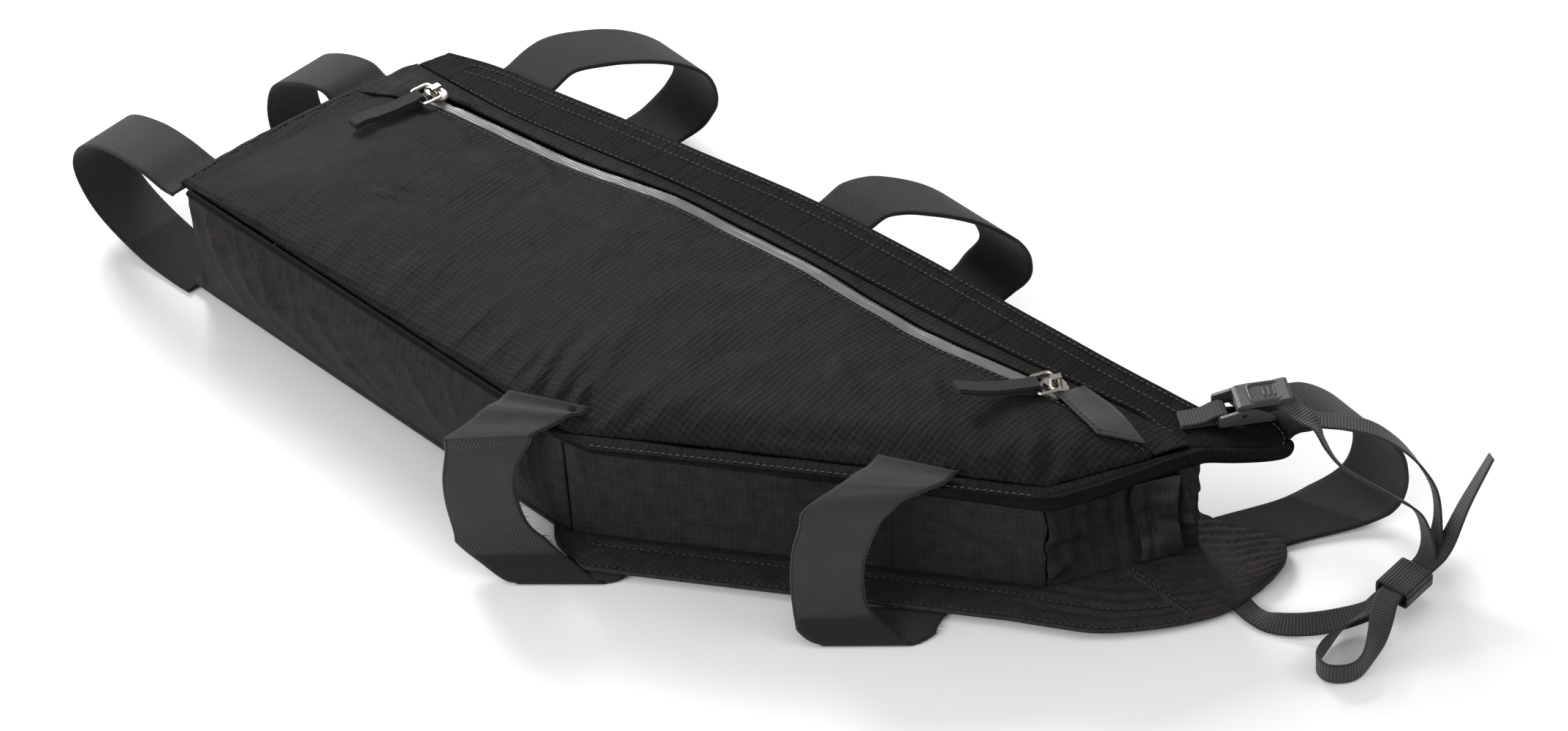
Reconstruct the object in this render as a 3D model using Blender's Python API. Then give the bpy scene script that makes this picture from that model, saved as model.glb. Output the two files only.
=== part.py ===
"""Bicycle frame bag lying on its side, built as separate sewn panels, straps and hardware.

Plan frame in millimetres: X runs along the top-tube edge from the seat end to the front,
Y points at the top tube, Z is up. The object's origin is on the flat underside of the
lower panel, at REST_X, REST_Y in that plan.
"""
import math

import bmesh
import bpy
import numpy as np

for old in list(bpy.data.objects):
    bpy.data.objects.remove(old, do_unlink=True)

MM = 0.001

# Outline of the bag, seen from above
TOP_LENGTH = 422.0
SEAT_LENGTH = 144.5
SEAT_ANGLE = -101.0
BOTTOM_LENGTH = 241.6
BOTTOM_ANGLE = -3.3
FRONT_LENGTH = 66.8
FRONT_ANGLE = -119.3
CORNER_RADIUS = 14.0
SEAT_BOW = 6.0
REST_X = 190.0
REST_Y = -75.0

# Heights and cloth
BAG_DEPTH = 60.0
CLOTH = 1.5
GAP = 0.3
CROWN = 9.0
FLANGE_LIFT = 2.7
BELLY_MARGIN = 14.0
GUSSET_BULGE = 5.0
WALL_HOLLOW = 3.0
FRONT_HOLLOW = 9.0

# Flanges round the two side panels
BAND_WIDTH = 24.0
BAND_CLOTH = 1.8
DOWN_FLANGE = 8.0
DOWN_FLANGE_THICK = 2.4
FRONT_RIM_THICK = 7.0
SEAT_FLANGE = 7.0
LOWER_FLANGE = 20.0
TONGUE_REACH = 26.0
TONGUE_ROLL = 8.0
LOWER_TONGUE = 34.0
PIPING = 3.0

# Zipper
TAPE_WIDTH = 8.0
ZIP_SLIT = 2.2
COIL_THICK = 1.2
PULL_WIDTH = 12.0
PULL_THICK = 1.4
RING_WIRE = 1.3
SLIDER_LENGTH = 13.0
SLIDER_WIDTH = 8.0
SLIDER_HEIGHT = 6.4
GARAGE_LENGTH = 30.0

# Straps and adjuster
STRAP_WIDTH = 30.0
STRAP_THICK = 1.8
WEBBING_WIDTH = 10.0
WEBBING_THICK = 1.0
WEBBING_REACH = 100.0
KEEPER_LENGTH = 18.0
KEEPER_WALL = 1.0

# Cam buckle
BUCKLE_LENGTH = 25.0
BUCKLE_WIDTH = 15.0
CHEEK = 1.4
PIN_RADIUS = 1.0
PIN_FIT = 0.08
LEVER_THICK = 2.2

# Along the top-tube edge: place in the length, band seam and band rim in band widths
TOP_EDGE = [
    # along, seam, rim
    (0.00, -0.62, 0.00),
    (0.05, -0.64, 0.25),
    (0.12, -0.64, 0.38),
    (0.22, -0.48, 0.58),
    (0.32, -0.28, 0.74),
    (0.45, -0.18, 0.94),
    (0.60, -0.20, 0.96),
    (0.75, -0.17, 0.86),
    (0.88, -0.05, 0.78),
    (0.97, 0.00, 0.76),
]

# Zipper line below the top edge: place in the top length, distance in band widths
ZIP_EDGE = [
    # along, below
    (0.00, 1.20),
    (0.15, 1.03),
    (0.28, 0.82),
    (0.38, 0.56),
    (0.50, 0.50),
    (0.62, 0.62),
    (0.72, 0.66),
    (0.84, 0.46),
    (1.00, 0.36),
]

# Soft folds of the upper side panel: place in the top and seat lengths, direction in degrees,
# length in top lengths, height and half width in crowns
FOLDS = [
    # along, across, direction, length, height, half_width
    (0.36, 0.62, 62.0, 0.20, 0.30, 0.55),
    (0.41, 0.66, 40.0, 0.24, 0.26, 0.50),
    (0.33, 0.70, 98.0, 0.18, 0.22, 0.45),
    (0.27, 0.76, 130.0, 0.16, 0.18, 0.45),
    (0.50, 0.60, 24.0, 0.22, 0.16, 0.50),
    (0.90, 0.22, 78.0, 0.09, 0.26, 0.40),
    (0.84, 0.20, 110.0, 0.08, 0.18, 0.40),
]

# Each strap is a loop from the upper flange to the lower one: out in its reach, lean along the
# edge in strap widths, height from the floor run (0) to its upper seat (1), turn in degrees
STRAPS = {
    "strap_seat_lower": {
        "edge": "seat", "at": 0.93, "reach": 78.0, "tucked": True,
        "rows": [
            # out, lean, height, turn
            (0.05, 0.00, 1.00, 8.0),
            (0.14, 0.04, 1.00, 8.0),
            (0.33, 0.12, 1.05, 8.0),
            (0.61, 0.18, 1.01, 8.0),
            (0.88, 0.27, 0.88, 10.0),
            (1.02, 0.32, 0.64, 10.0),
            (1.00, 0.31, 0.40, 10.0),
            (0.84, 0.25, 0.17, 8.0),
            (0.49, 0.16, 0.03, 6.0),
            (0.18, 0.06, 0.0, 4.0),
            (0.04, 0.00, 0.0, 4.0),
        ],
    },
    "strap_seat_upper": {
        "edge": "seat", "at": 0.30, "reach": 56.0, "tucked": True,
        "rows": [
            (0.07, 0.00, 1.00, 0.0),
            (0.16, 0.02, 1.00, 2.0),
            (0.32, 0.06, 1.05, 6.0),
            (0.61, 0.20, 0.99, 8.0),
            (0.86, 0.32, 0.84, 8.0),
            (0.97, 0.36, 0.55, 8.0),
            (0.92, 0.35, 0.26, 8.0),
            (0.73, 0.25, 0.05, 6.0),
            (0.38, 0.15, 0.0, 4.0),
            (0.05, 0.08, 0.0, 2.0),
        ],
    },
    "strap_top_rear": {
        "edge": "top", "at": 0.082, "reach": 74.0, "tucked": True,
        "rows": [
            (-0.13, 0.00, 1.00, 0.0),
            (0.05, 0.00, 1.00, 0.0),
            (0.28, 0.03, 1.05, -4.0),
            (0.51, 0.37, 1.05, -10.0),
            (0.74, 0.80, 0.98, -10.0),
            (0.92, 1.13, 0.80, -8.0),
            (0.99, 1.20, 0.55, -6.0),
            (0.98, 1.03, 0.30, -4.0),
            (0.85, 0.77, 0.09, -2.0),
            (0.45, 0.47, 0.0, 0.0),
            (-0.07, 0.33, 0.0, 0.0),
        ],
    },
    "strap_top_front": {
        "edge": "top", "at": 0.498, "reach": 55.0, "tucked": True,
        "rows": [
            (-0.18, 0.00, 1.00, 0.0),
            (0.05, 0.00, 1.00, 0.0),
            (0.26, 0.10, 1.05, -2.0),
            (0.49, 0.43, 1.03, -8.0),
            (0.71, 1.00, 0.95, -8.0),
            (0.88, 1.47, 0.75, -4.0),
            (0.97, 1.57, 0.48, 0.0),
            (0.90, 1.33, 0.21, 0.0),
            (0.58, 1.10, 0.05, 0.0),
            (0.13, 0.83, 0.0, 0.0),
            (-0.16, 0.77, 0.0, 0.0),
        ],
    },
    "strap_top_tip": {
        "edge": "tip", "at": 1.0, "reach": 42.0, "tucked": True,
        "rows": [
            (-0.05, -0.10, 1.00, -12.0),
            (0.08, 0.08, 1.00, -14.0),
            (0.26, 0.20, 1.00, -16.0),
            (0.58, 0.53, 0.99, -16.0),
            (0.86, 0.93, 0.79, -13.0),
            (0.94, 1.13, 0.52, -6.0),
            (0.88, 1.05, 0.20, 4.0),
            (0.50, 0.72, 0.04, 12.0),
            (-0.12, 0.15, 0.0, 15.0),
            (-0.38, 0.00, 0.0, 15.0),
        ],
    },
    "strap_down_rear": {
        "edge": "down", "at": 0.0, "reach": 42.0, "tucked": False,
        "rows": [
            (-0.36, -0.28, 1.00, -8.0),
            (-0.14, -0.56, 1.00, 4.0),
            (0.15, -0.92, 0.95, 13.0),
            (0.32, -1.07, 0.74, 14.0),
            (0.38, -1.05, 0.49, 14.0),
            (0.42, -0.88, 0.24, 14.0),
            (0.50, -0.45, 0.07, 12.0),
            (0.62, -0.02, 0.0, 10.0),
            (0.52, 0.28, 0.0, 8.0),
            (0.22, 0.42, 0.0, 4.0),
        ],
    },
    "strap_down_front": {
        "edge": "down", "at": 0.72, "reach": 50.0, "tucked": False,
        "rows": [
            (-0.06, 0.10, 1.00, -8.0),
            (0.18, -0.20, 1.00, 4.0),
            (0.41, -0.66, 0.93, 13.0),
            (0.53, -0.88, 0.70, 13.0),
            (0.60, -0.96, 0.46, 13.0),
            (0.68, -0.90, 0.20, 13.0),
            (0.77, -0.66, 0.05, 12.0),
            (0.80, -0.36, 0.0, 10.0),
            (0.62, -0.10, 0.0, 6.0),
            (0.36, 0.05, 0.0, 2.0),
        ],
    },
}

# Adjuster webbing, from under the lower tongue through the keeper to the buckle: X and Y from
# the front corner in webbing reaches, height in bag depths, width direction by turn and tilt
ADJUSTER_UP = [
    # x, y, height, turn, tilt
    (0.26, -0.12, 0.025, 80.0, 0.0),
    (0.40, -0.16, 0.025, 82.0, 0.0),
    (0.51, -0.15, 0.050, 100.0, 25.0),
    (0.64, -0.07, 0.085, 130.0, 30.0),
    (0.75, 0.06, 0.120, 165.0, 8.0),
    (0.79, 0.17, 0.130, 180.0, 0.0),
    (0.80, 0.30, 0.130, 180.0, 0.0),
    (0.80, 0.42, 0.135, 180.0, 0.0),
    (0.80, 0.50, 0.240, 165.0, -8.0),
    (0.78, 0.55, 0.420, 145.0, -28.0),
    (0.73, 0.59, 0.590, 140.0, -30.0),
    (0.65, 0.60, 0.720, 140.0, -24.0),
    (0.56, 0.58, 0.850, 140.0, -10.0),
    (0.46, 0.53, 0.960, 140.0, 0.0),
    (0.36, 0.46, 1.010, 140.0, 0.0),
    (0.26, 0.39, 1.035, 140.0, 0.0),
]
# The second strand, from the buckle down through the keeper to the loop and the tail
ADJUSTER_DOWN = [
    (0.20, 0.345, 1.110, 138.0, 0.0),
    (0.30, 0.335, 1.090, 134.0, 0.0),
    (0.38, 0.310, 1.000, 134.0, -10.0),
    (0.44, 0.33, 0.860, 136.0, -28.0),
    (0.50, 0.38, 0.740, 138.0, -30.0),
    (0.62, 0.44, 0.620, 140.0, -30.0),
    (0.72, 0.49, 0.500, 145.0, -28.0),
    (0.775, 0.485, 0.340, 155.0, -20.0),
    (0.80, 0.455, 0.210, 172.0, -4.0),
    (0.80, 0.40, 0.160, 180.0, 0.0),
    (0.80, 0.30, 0.160, 180.0, 0.0),
    (0.79, 0.17, 0.160, 180.0, 0.0),
    (0.75, 0.02, 0.110, 150.0, -40.0),
    (0.74, -0.15, 0.088, 120.0, -85.0),
    (0.77, -0.25, 0.088, 40.0, -88.0),
    (0.85, -0.27, 0.088, -30.0, -88.0),
    (0.92, -0.18, 0.088, -60.0, -80.0),
    (0.89, -0.02, 0.130, -30.0, -40.0),
    (0.81, 0.17, 0.190, 0.0, 0.0),
    (0.81, 0.30, 0.190, 0.0, 0.0),
    (0.82, 0.43, 0.200, -2.0, 0.0),
    (0.85, 0.51, 0.310, -12.0, 10.0),
    (0.86, 0.62, 0.560, -20.0, 20.0),
    (0.88, 0.76, 0.840, -25.0, 25.0),
]
KEEPER_LAYERS = (ADJUSTER_UP[6][2], ADJUSTER_DOWN[18][2])


def plan(length, degrees):
    """A step in the plan of the bag."""
    turn = math.radians(degrees)
    return np.array([length * math.cos(turn), length * math.sin(turn)])


CORNER_A = np.array([0.0, 0.0])
CORNER_B = CORNER_A + plan(SEAT_LENGTH, SEAT_ANGLE)
CORNER_C = CORNER_B + plan(BOTTOM_LENGTH, BOTTOM_ANGLE)
CORNER_E = np.array([TOP_LENGTH, 0.0])
CORNER_D = CORNER_E + plan(FRONT_LENGTH, FRONT_ANGLE)


def smooth_table(rows, column, at):
    """Values of one table column at given places, on a smooth curve through its rows."""
    x = np.array([row[0] for row in rows])
    y = np.array([row[column] for row in rows])
    slope = np.gradient(y, x)
    at = np.clip(at, x[0], x[-1])
    i = np.clip(np.searchsorted(x, at) - 1, 0, len(x) - 2)
    h = x[i + 1] - x[i]
    t = (at - x[i]) / h
    start = (2 * t**3 - 3 * t**2 + 1) * y[i] + (t**3 - 2 * t**2 + t) * h * slope[i]
    end = (3 * t**2 - 2 * t**3) * y[i + 1] + (t**3 - t**2) * h * slope[i + 1]
    return start + end


def smooth_path(points, count, bend=0.0):
    """Points on a smooth curve through the given ones, with any columns.

    They lie at even steps, or closer where the curve turns: a turn of one radian counts as
    bend millimetres more.
    """
    points = np.array(points, float)
    padded = np.vstack([2 * points[0] - points[1], points, 2 * points[-1] - points[-2]])
    dense = []
    for i in range(1, len(padded) - 2):
        p0, p1, p2, p3 = padded[i - 1:i + 3]
        for t in np.linspace(0, 1, 16, endpoint=False):
            curve = 2 * p1 + (p2 - p0) * t + (2 * p0 - 5 * p1 + 4 * p2 - p3) * t**2
            dense.append(0.5 * (curve + (3 * p1 - p0 - 3 * p2 + p3) * t**3))
    dense.append(points[-1])
    dense = np.array(dense)
    moves = np.diff(dense[:, :3], axis=0)
    steps = np.linalg.norm(moves, axis=1)
    ways = moves / steps[:, None]
    turns = np.arccos(np.clip(np.sum(ways[1:] * ways[:-1], 1), -1, 1))
    steps[1:] += bend * turns
    length = np.concatenate([[0], np.cumsum(steps)])
    at = np.linspace(0, length[-1], count)
    return np.stack([np.interp(at, length, dense[:, k]) for k in range(dense.shape[1])], 1)


def rounded_chain(corners, radius, step=3.0):
    """A polyline with round corners: points, outward normals and running length."""
    runs = [corners[0]]
    for before, corner, after in zip(corners, corners[1:], corners[2:]):
        came = (corner - before) / np.linalg.norm(corner - before)
        goes = (after - corner) / np.linalg.norm(after - corner)
        turn = math.acos(np.clip(came @ goes, -1, 1))
        cut = radius * math.tan(turn / 2)
        for t in np.linspace(0, 1, 7):
            start = corner - came * cut
            end = corner + goes * cut
            runs.append((1 - t) ** 2 * start + 2 * t * (1 - t) * corner + t**2 * end)
    runs.append(corners[-1])
    runs = np.array(runs)
    length = np.concatenate([[0], np.cumsum(np.linalg.norm(np.diff(runs, axis=0), axis=1))])
    count = int(length[-1] / step) + 1
    at = np.linspace(0, length[-1], count)
    points = np.stack([np.interp(at, length, runs[:, k]) for k in range(2)], 1)
    tangent = np.gradient(points, axis=0)
    tangent /= np.linalg.norm(tangent, axis=1)[:, None]
    normals = np.stack([tangent[:, 1], -tangent[:, 0]], 1)
    return {"points": points, "normals": normals, "length": at}


def on_chain(chain, lengths, out=0.0):
    """Plan points at running lengths of a chain, moved outward."""
    point = np.stack([np.interp(lengths, chain["length"], chain["points"][:, k]) for k in range(2)], 1)
    normal = np.stack([np.interp(lengths, chain["length"], chain["normals"][:, k]) for k in range(2)], 1)
    normal /= np.linalg.norm(normal, axis=1)[:, None]
    return point + normal * np.reshape(out, (-1, 1)), normal


LOW_SIDE = rounded_chain([CORNER_B, CORNER_C, CORNER_D, CORNER_E], CORNER_RADIUS)
LOW_TOTAL = LOW_SIDE["length"][-1]
LENGTH_C = BOTTOM_LENGTH
DOWN_LENGTH = np.linalg.norm(CORNER_D - CORNER_C)
LENGTH_D = LOW_TOTAL - FRONT_LENGTH
DOWN_TANGENT = (CORNER_D - CORNER_C) / DOWN_LENGTH


def seat_line(share, out=0.0):
    """The bowed seat-tube edge from corner A to corner B."""
    share = np.atleast_1d(share)
    along = (CORNER_B - CORNER_A) / SEAT_LENGTH
    normal = np.array([along[1], -along[0]])
    bow = SEAT_BOW * 4 * share * (1 - share) + out
    return CORNER_A + share[:, None] * (CORNER_B - CORNER_A) + bow[:, None] * normal


def seam_y(x):
    """Band seam, which the top-tube wall follows."""
    return BAND_WIDTH * smooth_table(TOP_EDGE, 1, x / TOP_LENGTH)


def rim_y(x):
    """Outer edge of the band."""
    return BAND_WIDTH * smooth_table(TOP_EDGE, 2, x / TOP_LENGTH)


def zip_y(x):
    """Middle of the zipper slit."""
    return -BAND_WIDTH * smooth_table(ZIP_EDGE, 1, x / TOP_LENGTH)


def ease(t):
    return np.sin(np.pi / 2 * np.clip(t, 0, 1))


def line_distance(xy, start, end):
    """Signed distance inward from a straight edge of the outline."""
    along = (end - start) / np.linalg.norm(end - start)
    inward = np.array([-along[1], along[0]])
    return (xy - start) @ inward


def upper_surface(xy):
    """Height of the upper side of the bag over plan points: crown, rolled edges and folds."""
    xy = np.atleast_2d(xy)
    crown = CROWN * ease(line_distance(xy, CORNER_B, CORNER_C) / 50.0)
    crown *= ease(line_distance(xy, CORNER_C, CORNER_D) / 26.0)
    crown *= ease(line_distance(xy, CORNER_D, CORNER_E) / 26.0)
    crown *= ease(line_distance(xy, CORNER_A, CORNER_B) / 60.0)
    crown *= ease((seam_y(xy[:, 0]) - xy[:, 1]) / 70.0)
    height = BAG_DEPTH + crown
    for along, across, direction, length, rise, half_width in FOLDS:
        centre = np.array([along * TOP_LENGTH, -across * SEAT_LENGTH])
        way = plan(1.0, direction)
        run = (xy - centre) @ way / (length * TOP_LENGTH / 2)
        side = (xy - centre) @ np.array([-way[1], way[0]]) / (half_width * CROWN)
        height += crown * rise * np.exp(-side**2) * np.clip(1 - run**2, 0, 1)
    return height


def lower_surface(xy):
    """Underside of the lower panel: flat on the floor in the middle, lifted at the flanges."""
    xy = np.atleast_2d(xy)
    inside = np.minimum.reduce([
        line_distance(xy, CORNER_B, CORNER_C),
        line_distance(xy, CORNER_C, CORNER_D),
        line_distance(xy, CORNER_D, CORNER_E),
        line_distance(xy, CORNER_A, CORNER_B),
        seam_y(xy[:, 0]) - xy[:, 1],
    ])
    rise = 1 - np.clip(inside / BELLY_MARGIN, 0, 1)
    return FLANGE_LIFT * rise**2 * (3 - 2 * rise)


BAG = bpy.data.objects.new("bag_frame", None)
BAG.empty_display_size = 0.02
BAG.location = (-REST_X * MM, -REST_Y * MM, 0.0)
bpy.context.scene.collection.objects.link(BAG)


def finish_colour(name, colour, roughness, metallic=0.0):
    material = bpy.data.materials.new(name)
    material.use_nodes = True
    shader = material.node_tree.nodes["Principled BSDF"]
    shader.inputs["Base Color"].default_value = (*colour, 1.0)
    shader.inputs["Roughness"].default_value = roughness
    shader.inputs["Metallic"].default_value = metallic
    material.diffuse_color = (*colour, 1.0)
    return material


RIPSTOP = ((0.020, 0.019, 0.018), 0.55)
TWILL = ((0.026, 0.027, 0.029), 0.85)
COATED = ((0.12, 0.12, 0.12), 0.35)
PLASTIC = ((0.035, 0.036, 0.038), 0.4)
NICKEL = ((0.62, 0.60, 0.57), 0.25, 1.0)


def new_object(name, mesh_bm, look):
    """Link a mesh, given in millimetres of the plan, as one named object of the bag."""
    bmesh.ops.recalc_face_normals(mesh_bm, faces=mesh_bm.faces)
    bmesh.ops.scale(mesh_bm, vec=(MM, MM, MM), verts=mesh_bm.verts)
    mesh = bpy.data.meshes.new(name)
    mesh_bm.to_mesh(mesh)
    mesh_bm.free()
    mesh.shade_smooth()
    mesh.set_sharp_from_angle(angle=math.radians(40))
    item = bpy.data.objects.new(name, mesh)
    item.parent = BAG
    mesh.materials.append(finish_colour(name, *look))
    bpy.context.scene.collection.objects.link(item)
    return item


def slab(name, outer, inner, look):
    """A closed piece of cloth between two matching grids of points."""
    rows, columns = outer.shape[:2]
    bm = bmesh.new()
    top = [[bm.verts.new(p) for p in row] for row in outer]
    low = [[bm.verts.new(p) for p in row] for row in inner]
    for i in range(rows - 1):
        for j in range(columns - 1):
            bm.faces.new((top[i][j], top[i + 1][j], top[i + 1][j + 1], top[i][j + 1]))
            bm.faces.new((low[i][j], low[i][j + 1], low[i + 1][j + 1], low[i + 1][j]))
    for i in range(rows - 1):
        for j in (0, columns - 1):
            bm.faces.new((top[i][j], low[i][j], low[i + 1][j], top[i + 1][j]))
    for j in range(columns - 1):
        for i in (0, rows - 1):
            bm.faces.new((top[i][j], top[i][j + 1], low[i][j + 1], low[i][j]))
    return new_object(name, bm, look)


def between(low_curve, high_curve, shares):
    """Plan grid from one curve to another at given shares across."""
    shares = np.array(shares)[None, :, None]
    return low_curve[:, None, :] * (1 - shares) + high_curve[:, None, :] * shares


def lifted(grid, surface, below=0.0):
    """Put a plan grid on a height function."""
    heights = surface(grid.reshape(-1, 2)).reshape(grid.shape[:2]) - below
    return np.concatenate([grid, heights[:, :, None]], 2)


def top_piece(name, grid, thickness, look=RIPSTOP, sink=0.0):
    """A panel of the upper side that follows its surface."""
    return slab(name, lifted(grid, upper_surface, sink), lifted(grid, upper_surface, sink + thickness), look)


def seat_share(y):
    return np.clip(-y / (SEAT_LENGTH * math.sin(math.radians(-SEAT_ANGLE))), 0, 1)


def bowed(grid, out):
    """Bring the rear ends of a grid's lines to the bowed seat edge, fading out forward."""
    rear = grid[0].copy()
    target = seat_line(seat_share(rear[:, 1]), out)
    shift = target - rear
    fade = np.linspace(1, 0, len(grid))[:, None, None] ** 4
    return grid + fade * shift[None]


PANEL_INSET = 2.0 + GAP
ZIP_FRONT = TOP_LENGTH * 0.835
PANEL_FRONT = TOP_LENGTH * 0.9705
ROUND_C = 1.3 * CORNER_RADIUS
FLANGE_START = LENGTH_C - ROUND_C / 3


def side_stations():
    """Lengths along the low side from B to the front, close together round corners C and D."""
    front = LOW_TOTAL - 0.32 * FRONT_LENGTH
    runs = [
        np.linspace(0, LENGTH_C - ROUND_C, 13),
        np.linspace(LENGTH_C - ROUND_C, LENGTH_C + ROUND_C, 7)[1:],
        np.linspace(LENGTH_C + ROUND_C, LENGTH_D - ROUND_C, 8)[1:],
        np.linspace(LENGTH_D - ROUND_C, LENGTH_D + ROUND_C, 6)[1:],
        np.linspace(LENGTH_D + ROUND_C, front, 3)[1:],
    ]
    return np.concatenate(runs)


def facing_x(low):
    """Places on the top edge that face the stations of the low side."""
    share = (low[:, 0] - low[0, 0]) / (low[-1, 0] - low[0, 0])
    return share * PANEL_FRONT


def side_panel():
    low, _ = on_chain(LOW_SIDE, side_stations(), -PANEL_INSET)
    x = facing_x(low)
    high = np.stack([x, zip_y(x) - ZIP_SLIT / 2 - TAPE_WIDTH * 0.75 - GAP], 1)
    across = [0, 0.04, 0.09, 0.15, 0.22, 0.31, 0.42, 0.54, 0.66, 0.78, 0.89, 1]
    top_piece("side_panel", bowed(between(low, high, across), -PANEL_INSET), CLOTH)


def zip_stations():
    low, _ = on_chain(LOW_SIDE, side_stations(), -PANEL_INSET)
    return facing_x(low)


def to_front_edge(grid):
    """Add a last row to a grid that lies along the front edge of the upper side."""
    slant = (CORNER_E - CORNER_D) / FRONT_LENGTH
    y = grid[-1, :, 1]
    x = TOP_LENGTH - PANEL_INSET / slant[1] + y * slant[0] / slant[1]
    return np.concatenate([grid, np.stack([x, y], 1)[None]], 0)


def zip_panel():
    x = zip_stations()
    low = np.stack([x, zip_y(x) + ZIP_SLIT / 2], 1)
    high = np.stack([x, seam_y(x) - GAP], 1)
    top_piece("zip_panel", to_front_edge(bowed(between(low, high, [0, 0.5, 1]), -PANEL_INSET)), CLOTH)


def zipper_tape():
    x = zip_stations()
    high = np.stack([x, zip_y(x) - ZIP_SLIT / 2], 1)
    low = high - np.array([0, TAPE_WIDTH * 0.75])
    grid = to_front_edge(bowed(between(low, high, [0, 1]), -PANEL_INSET))
    top_piece("zipper_tape", grid, CLOTH * 0.8, COATED)


def zipper_coil():
    x = zip_stations()
    middle = zip_y(x)
    low = np.stack([x, middle - ZIP_SLIT / 2 + GAP], 1)
    high = np.stack([x, middle + ZIP_SLIT / 2 - GAP], 1)
    grid = bowed(between(low, high, [0, 1]), -PANEL_INSET)
    top_piece("zipper_coil", grid[x <= ZIP_FRONT], COIL_THICK, TWILL, CLOTH * 0.4)


def top_band():
    x = np.linspace(0, TOP_LENGTH * 0.97, 24)
    seam = np.stack([x, seam_y(x)], 1)
    rim = np.stack([x, rim_y(x)], 1)
    tip = CORNER_E + np.array([TONGUE_REACH, 0.8 * TONGUE_REACH])
    near = [seam[-1], CORNER_E + (0.03 * TONGUE_REACH, 0.02 * TONGUE_REACH),
            CORNER_E + (0.46 * TONGUE_REACH, 0.35 * TONGUE_REACH),
            CORNER_E + (0.85 * TONGUE_REACH, 0.66 * TONGUE_REACH), tip]
    far = [rim[-1], CORNER_E + (-0.15 * TONGUE_REACH, 1.08 * TONGUE_REACH),
           CORNER_E + (0.33 * TONGUE_REACH, 1.22 * TONGUE_REACH),
           CORNER_E + (0.82 * TONGUE_REACH, 1.08 * TONGUE_REACH), tip + (-0.6, 1.2)]
    seam = np.vstack([seam, smooth_path(near, 11)[1:]])
    rim = np.vstack([rim, smooth_path(far, 11)[1:]])
    across = np.array([0, 0.12, 0.4, 0.75, 1])
    grid = between(seam, rim, across)
    grid[:24] = bowed(grid[:24], 0.0)
    outer = np.concatenate([grid, np.full(grid.shape[:2] + (1,), BAG_DEPTH)], 2)
    inner = outer.copy()
    inner[:, :, 2] -= BAND_CLOTH
    past_wall = np.clip((grid[:, :, 0] - TOP_LENGTH - 3.0) / 5.0, 0, 1)
    rolled = np.clip(1 - across / 0.35, 0, 1)[None, :]
    inner[:, :, 2] -= (TONGUE_ROLL - BAND_CLOTH) * past_wall * rolled
    slab("top_band", outer, inner, RIPSTOP)


def rim_thickness(lengths):
    """The low flange is thin at corner C and a thick rolled rim at the front."""
    share = np.clip((lengths - LENGTH_C) / (LENGTH_D - LENGTH_C), 0, 1)
    return DOWN_FLANGE_THICK + (FRONT_RIM_THICK - DOWN_FLANGE_THICK) * share**2


def down_flange():
    lengths = side_stations()
    lengths = np.append(lengths[lengths > FLANGE_START - 1.0], LOW_TOTAL - 1.5)
    width = DOWN_FLANGE * np.clip((lengths - FLANGE_START) / 20.0, 0.3, 1)
    width *= np.clip(1.25 - (lengths - LENGTH_D) / FRONT_LENGTH, 0.45, 1)
    inner_edge, _ = on_chain(LOW_SIDE, lengths, -2.0)
    outer_edge, _ = on_chain(LOW_SIDE, lengths, width)
    grid = between(inner_edge, outer_edge, [0, 0.35, 0.8, 1])
    outer = np.concatenate([grid, np.full(grid.shape[:2] + (1,), BAG_DEPTH)], 2)
    outer[:, 3, 2] -= 0.35 * rim_thickness(lengths)
    inner = outer.copy()
    inner[:, :, 2] = BAG_DEPTH - rim_thickness(lengths)[:, None]
    inner[:, 3, 2] += 0.2 * rim_thickness(lengths)
    slab("down_flange", outer, inner, RIPSTOP)


def seat_flange():
    shares = np.linspace(0.125, 0.985, 18)
    grid = between(seat_line(shares, -2.0), seat_line(shares, SEAT_FLANGE), [0, 0.7, 1])
    outer = np.concatenate([grid, np.full(grid.shape[:2] + (1,), BAG_DEPTH)], 2)
    outer[:, 2, 2] -= 0.5
    inner = outer.copy()
    inner[:, :, 2] = BAG_DEPTH - DOWN_FLANGE_THICK
    slab("seat_flange", outer, inner, RIPSTOP)


def piping():
    lengths = side_stations()
    lengths = np.append(lengths[lengths < FLANGE_START - 1.0], FLANGE_START - GAP)
    lengths[0] = 2.0
    path, normals = on_chain(LOW_SIDE, lengths, -2.0 + PIPING / 2)
    rings = []
    for angle in np.linspace(0, 2 * np.pi, 6, endpoint=False):
        side = math.cos(angle) * PIPING / 2
        up = math.sin(angle) * PIPING / 2
        points = path + normals * side
        heights = np.full((len(points), 1), BAG_DEPTH - PIPING / 2 + up)
        rings.append(np.concatenate([points, heights], 1))
    tube(rings, "bottom_piping", TWILL)


def tube(rings, name, look):
    """A closed tube from lines of points that run along it, one for each side."""
    bm = bmesh.new()
    lines = [[bm.verts.new(p) for p in line] for line in rings]
    sides = len(lines)
    count = len(lines[0])
    for k in range(sides):
        this, following = lines[k], lines[(k + 1) % sides]
        for i in range(count - 1):
            bm.faces.new((this[i], this[i + 1], following[i + 1], following[i]))
    bm.faces.new([line[0] for line in lines])
    bm.faces.new([line[-1] for line in lines][::-1])
    return new_object(name, bm, look)


WALL_LOW = FLANGE_LIFT + CLOTH + GAP


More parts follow.
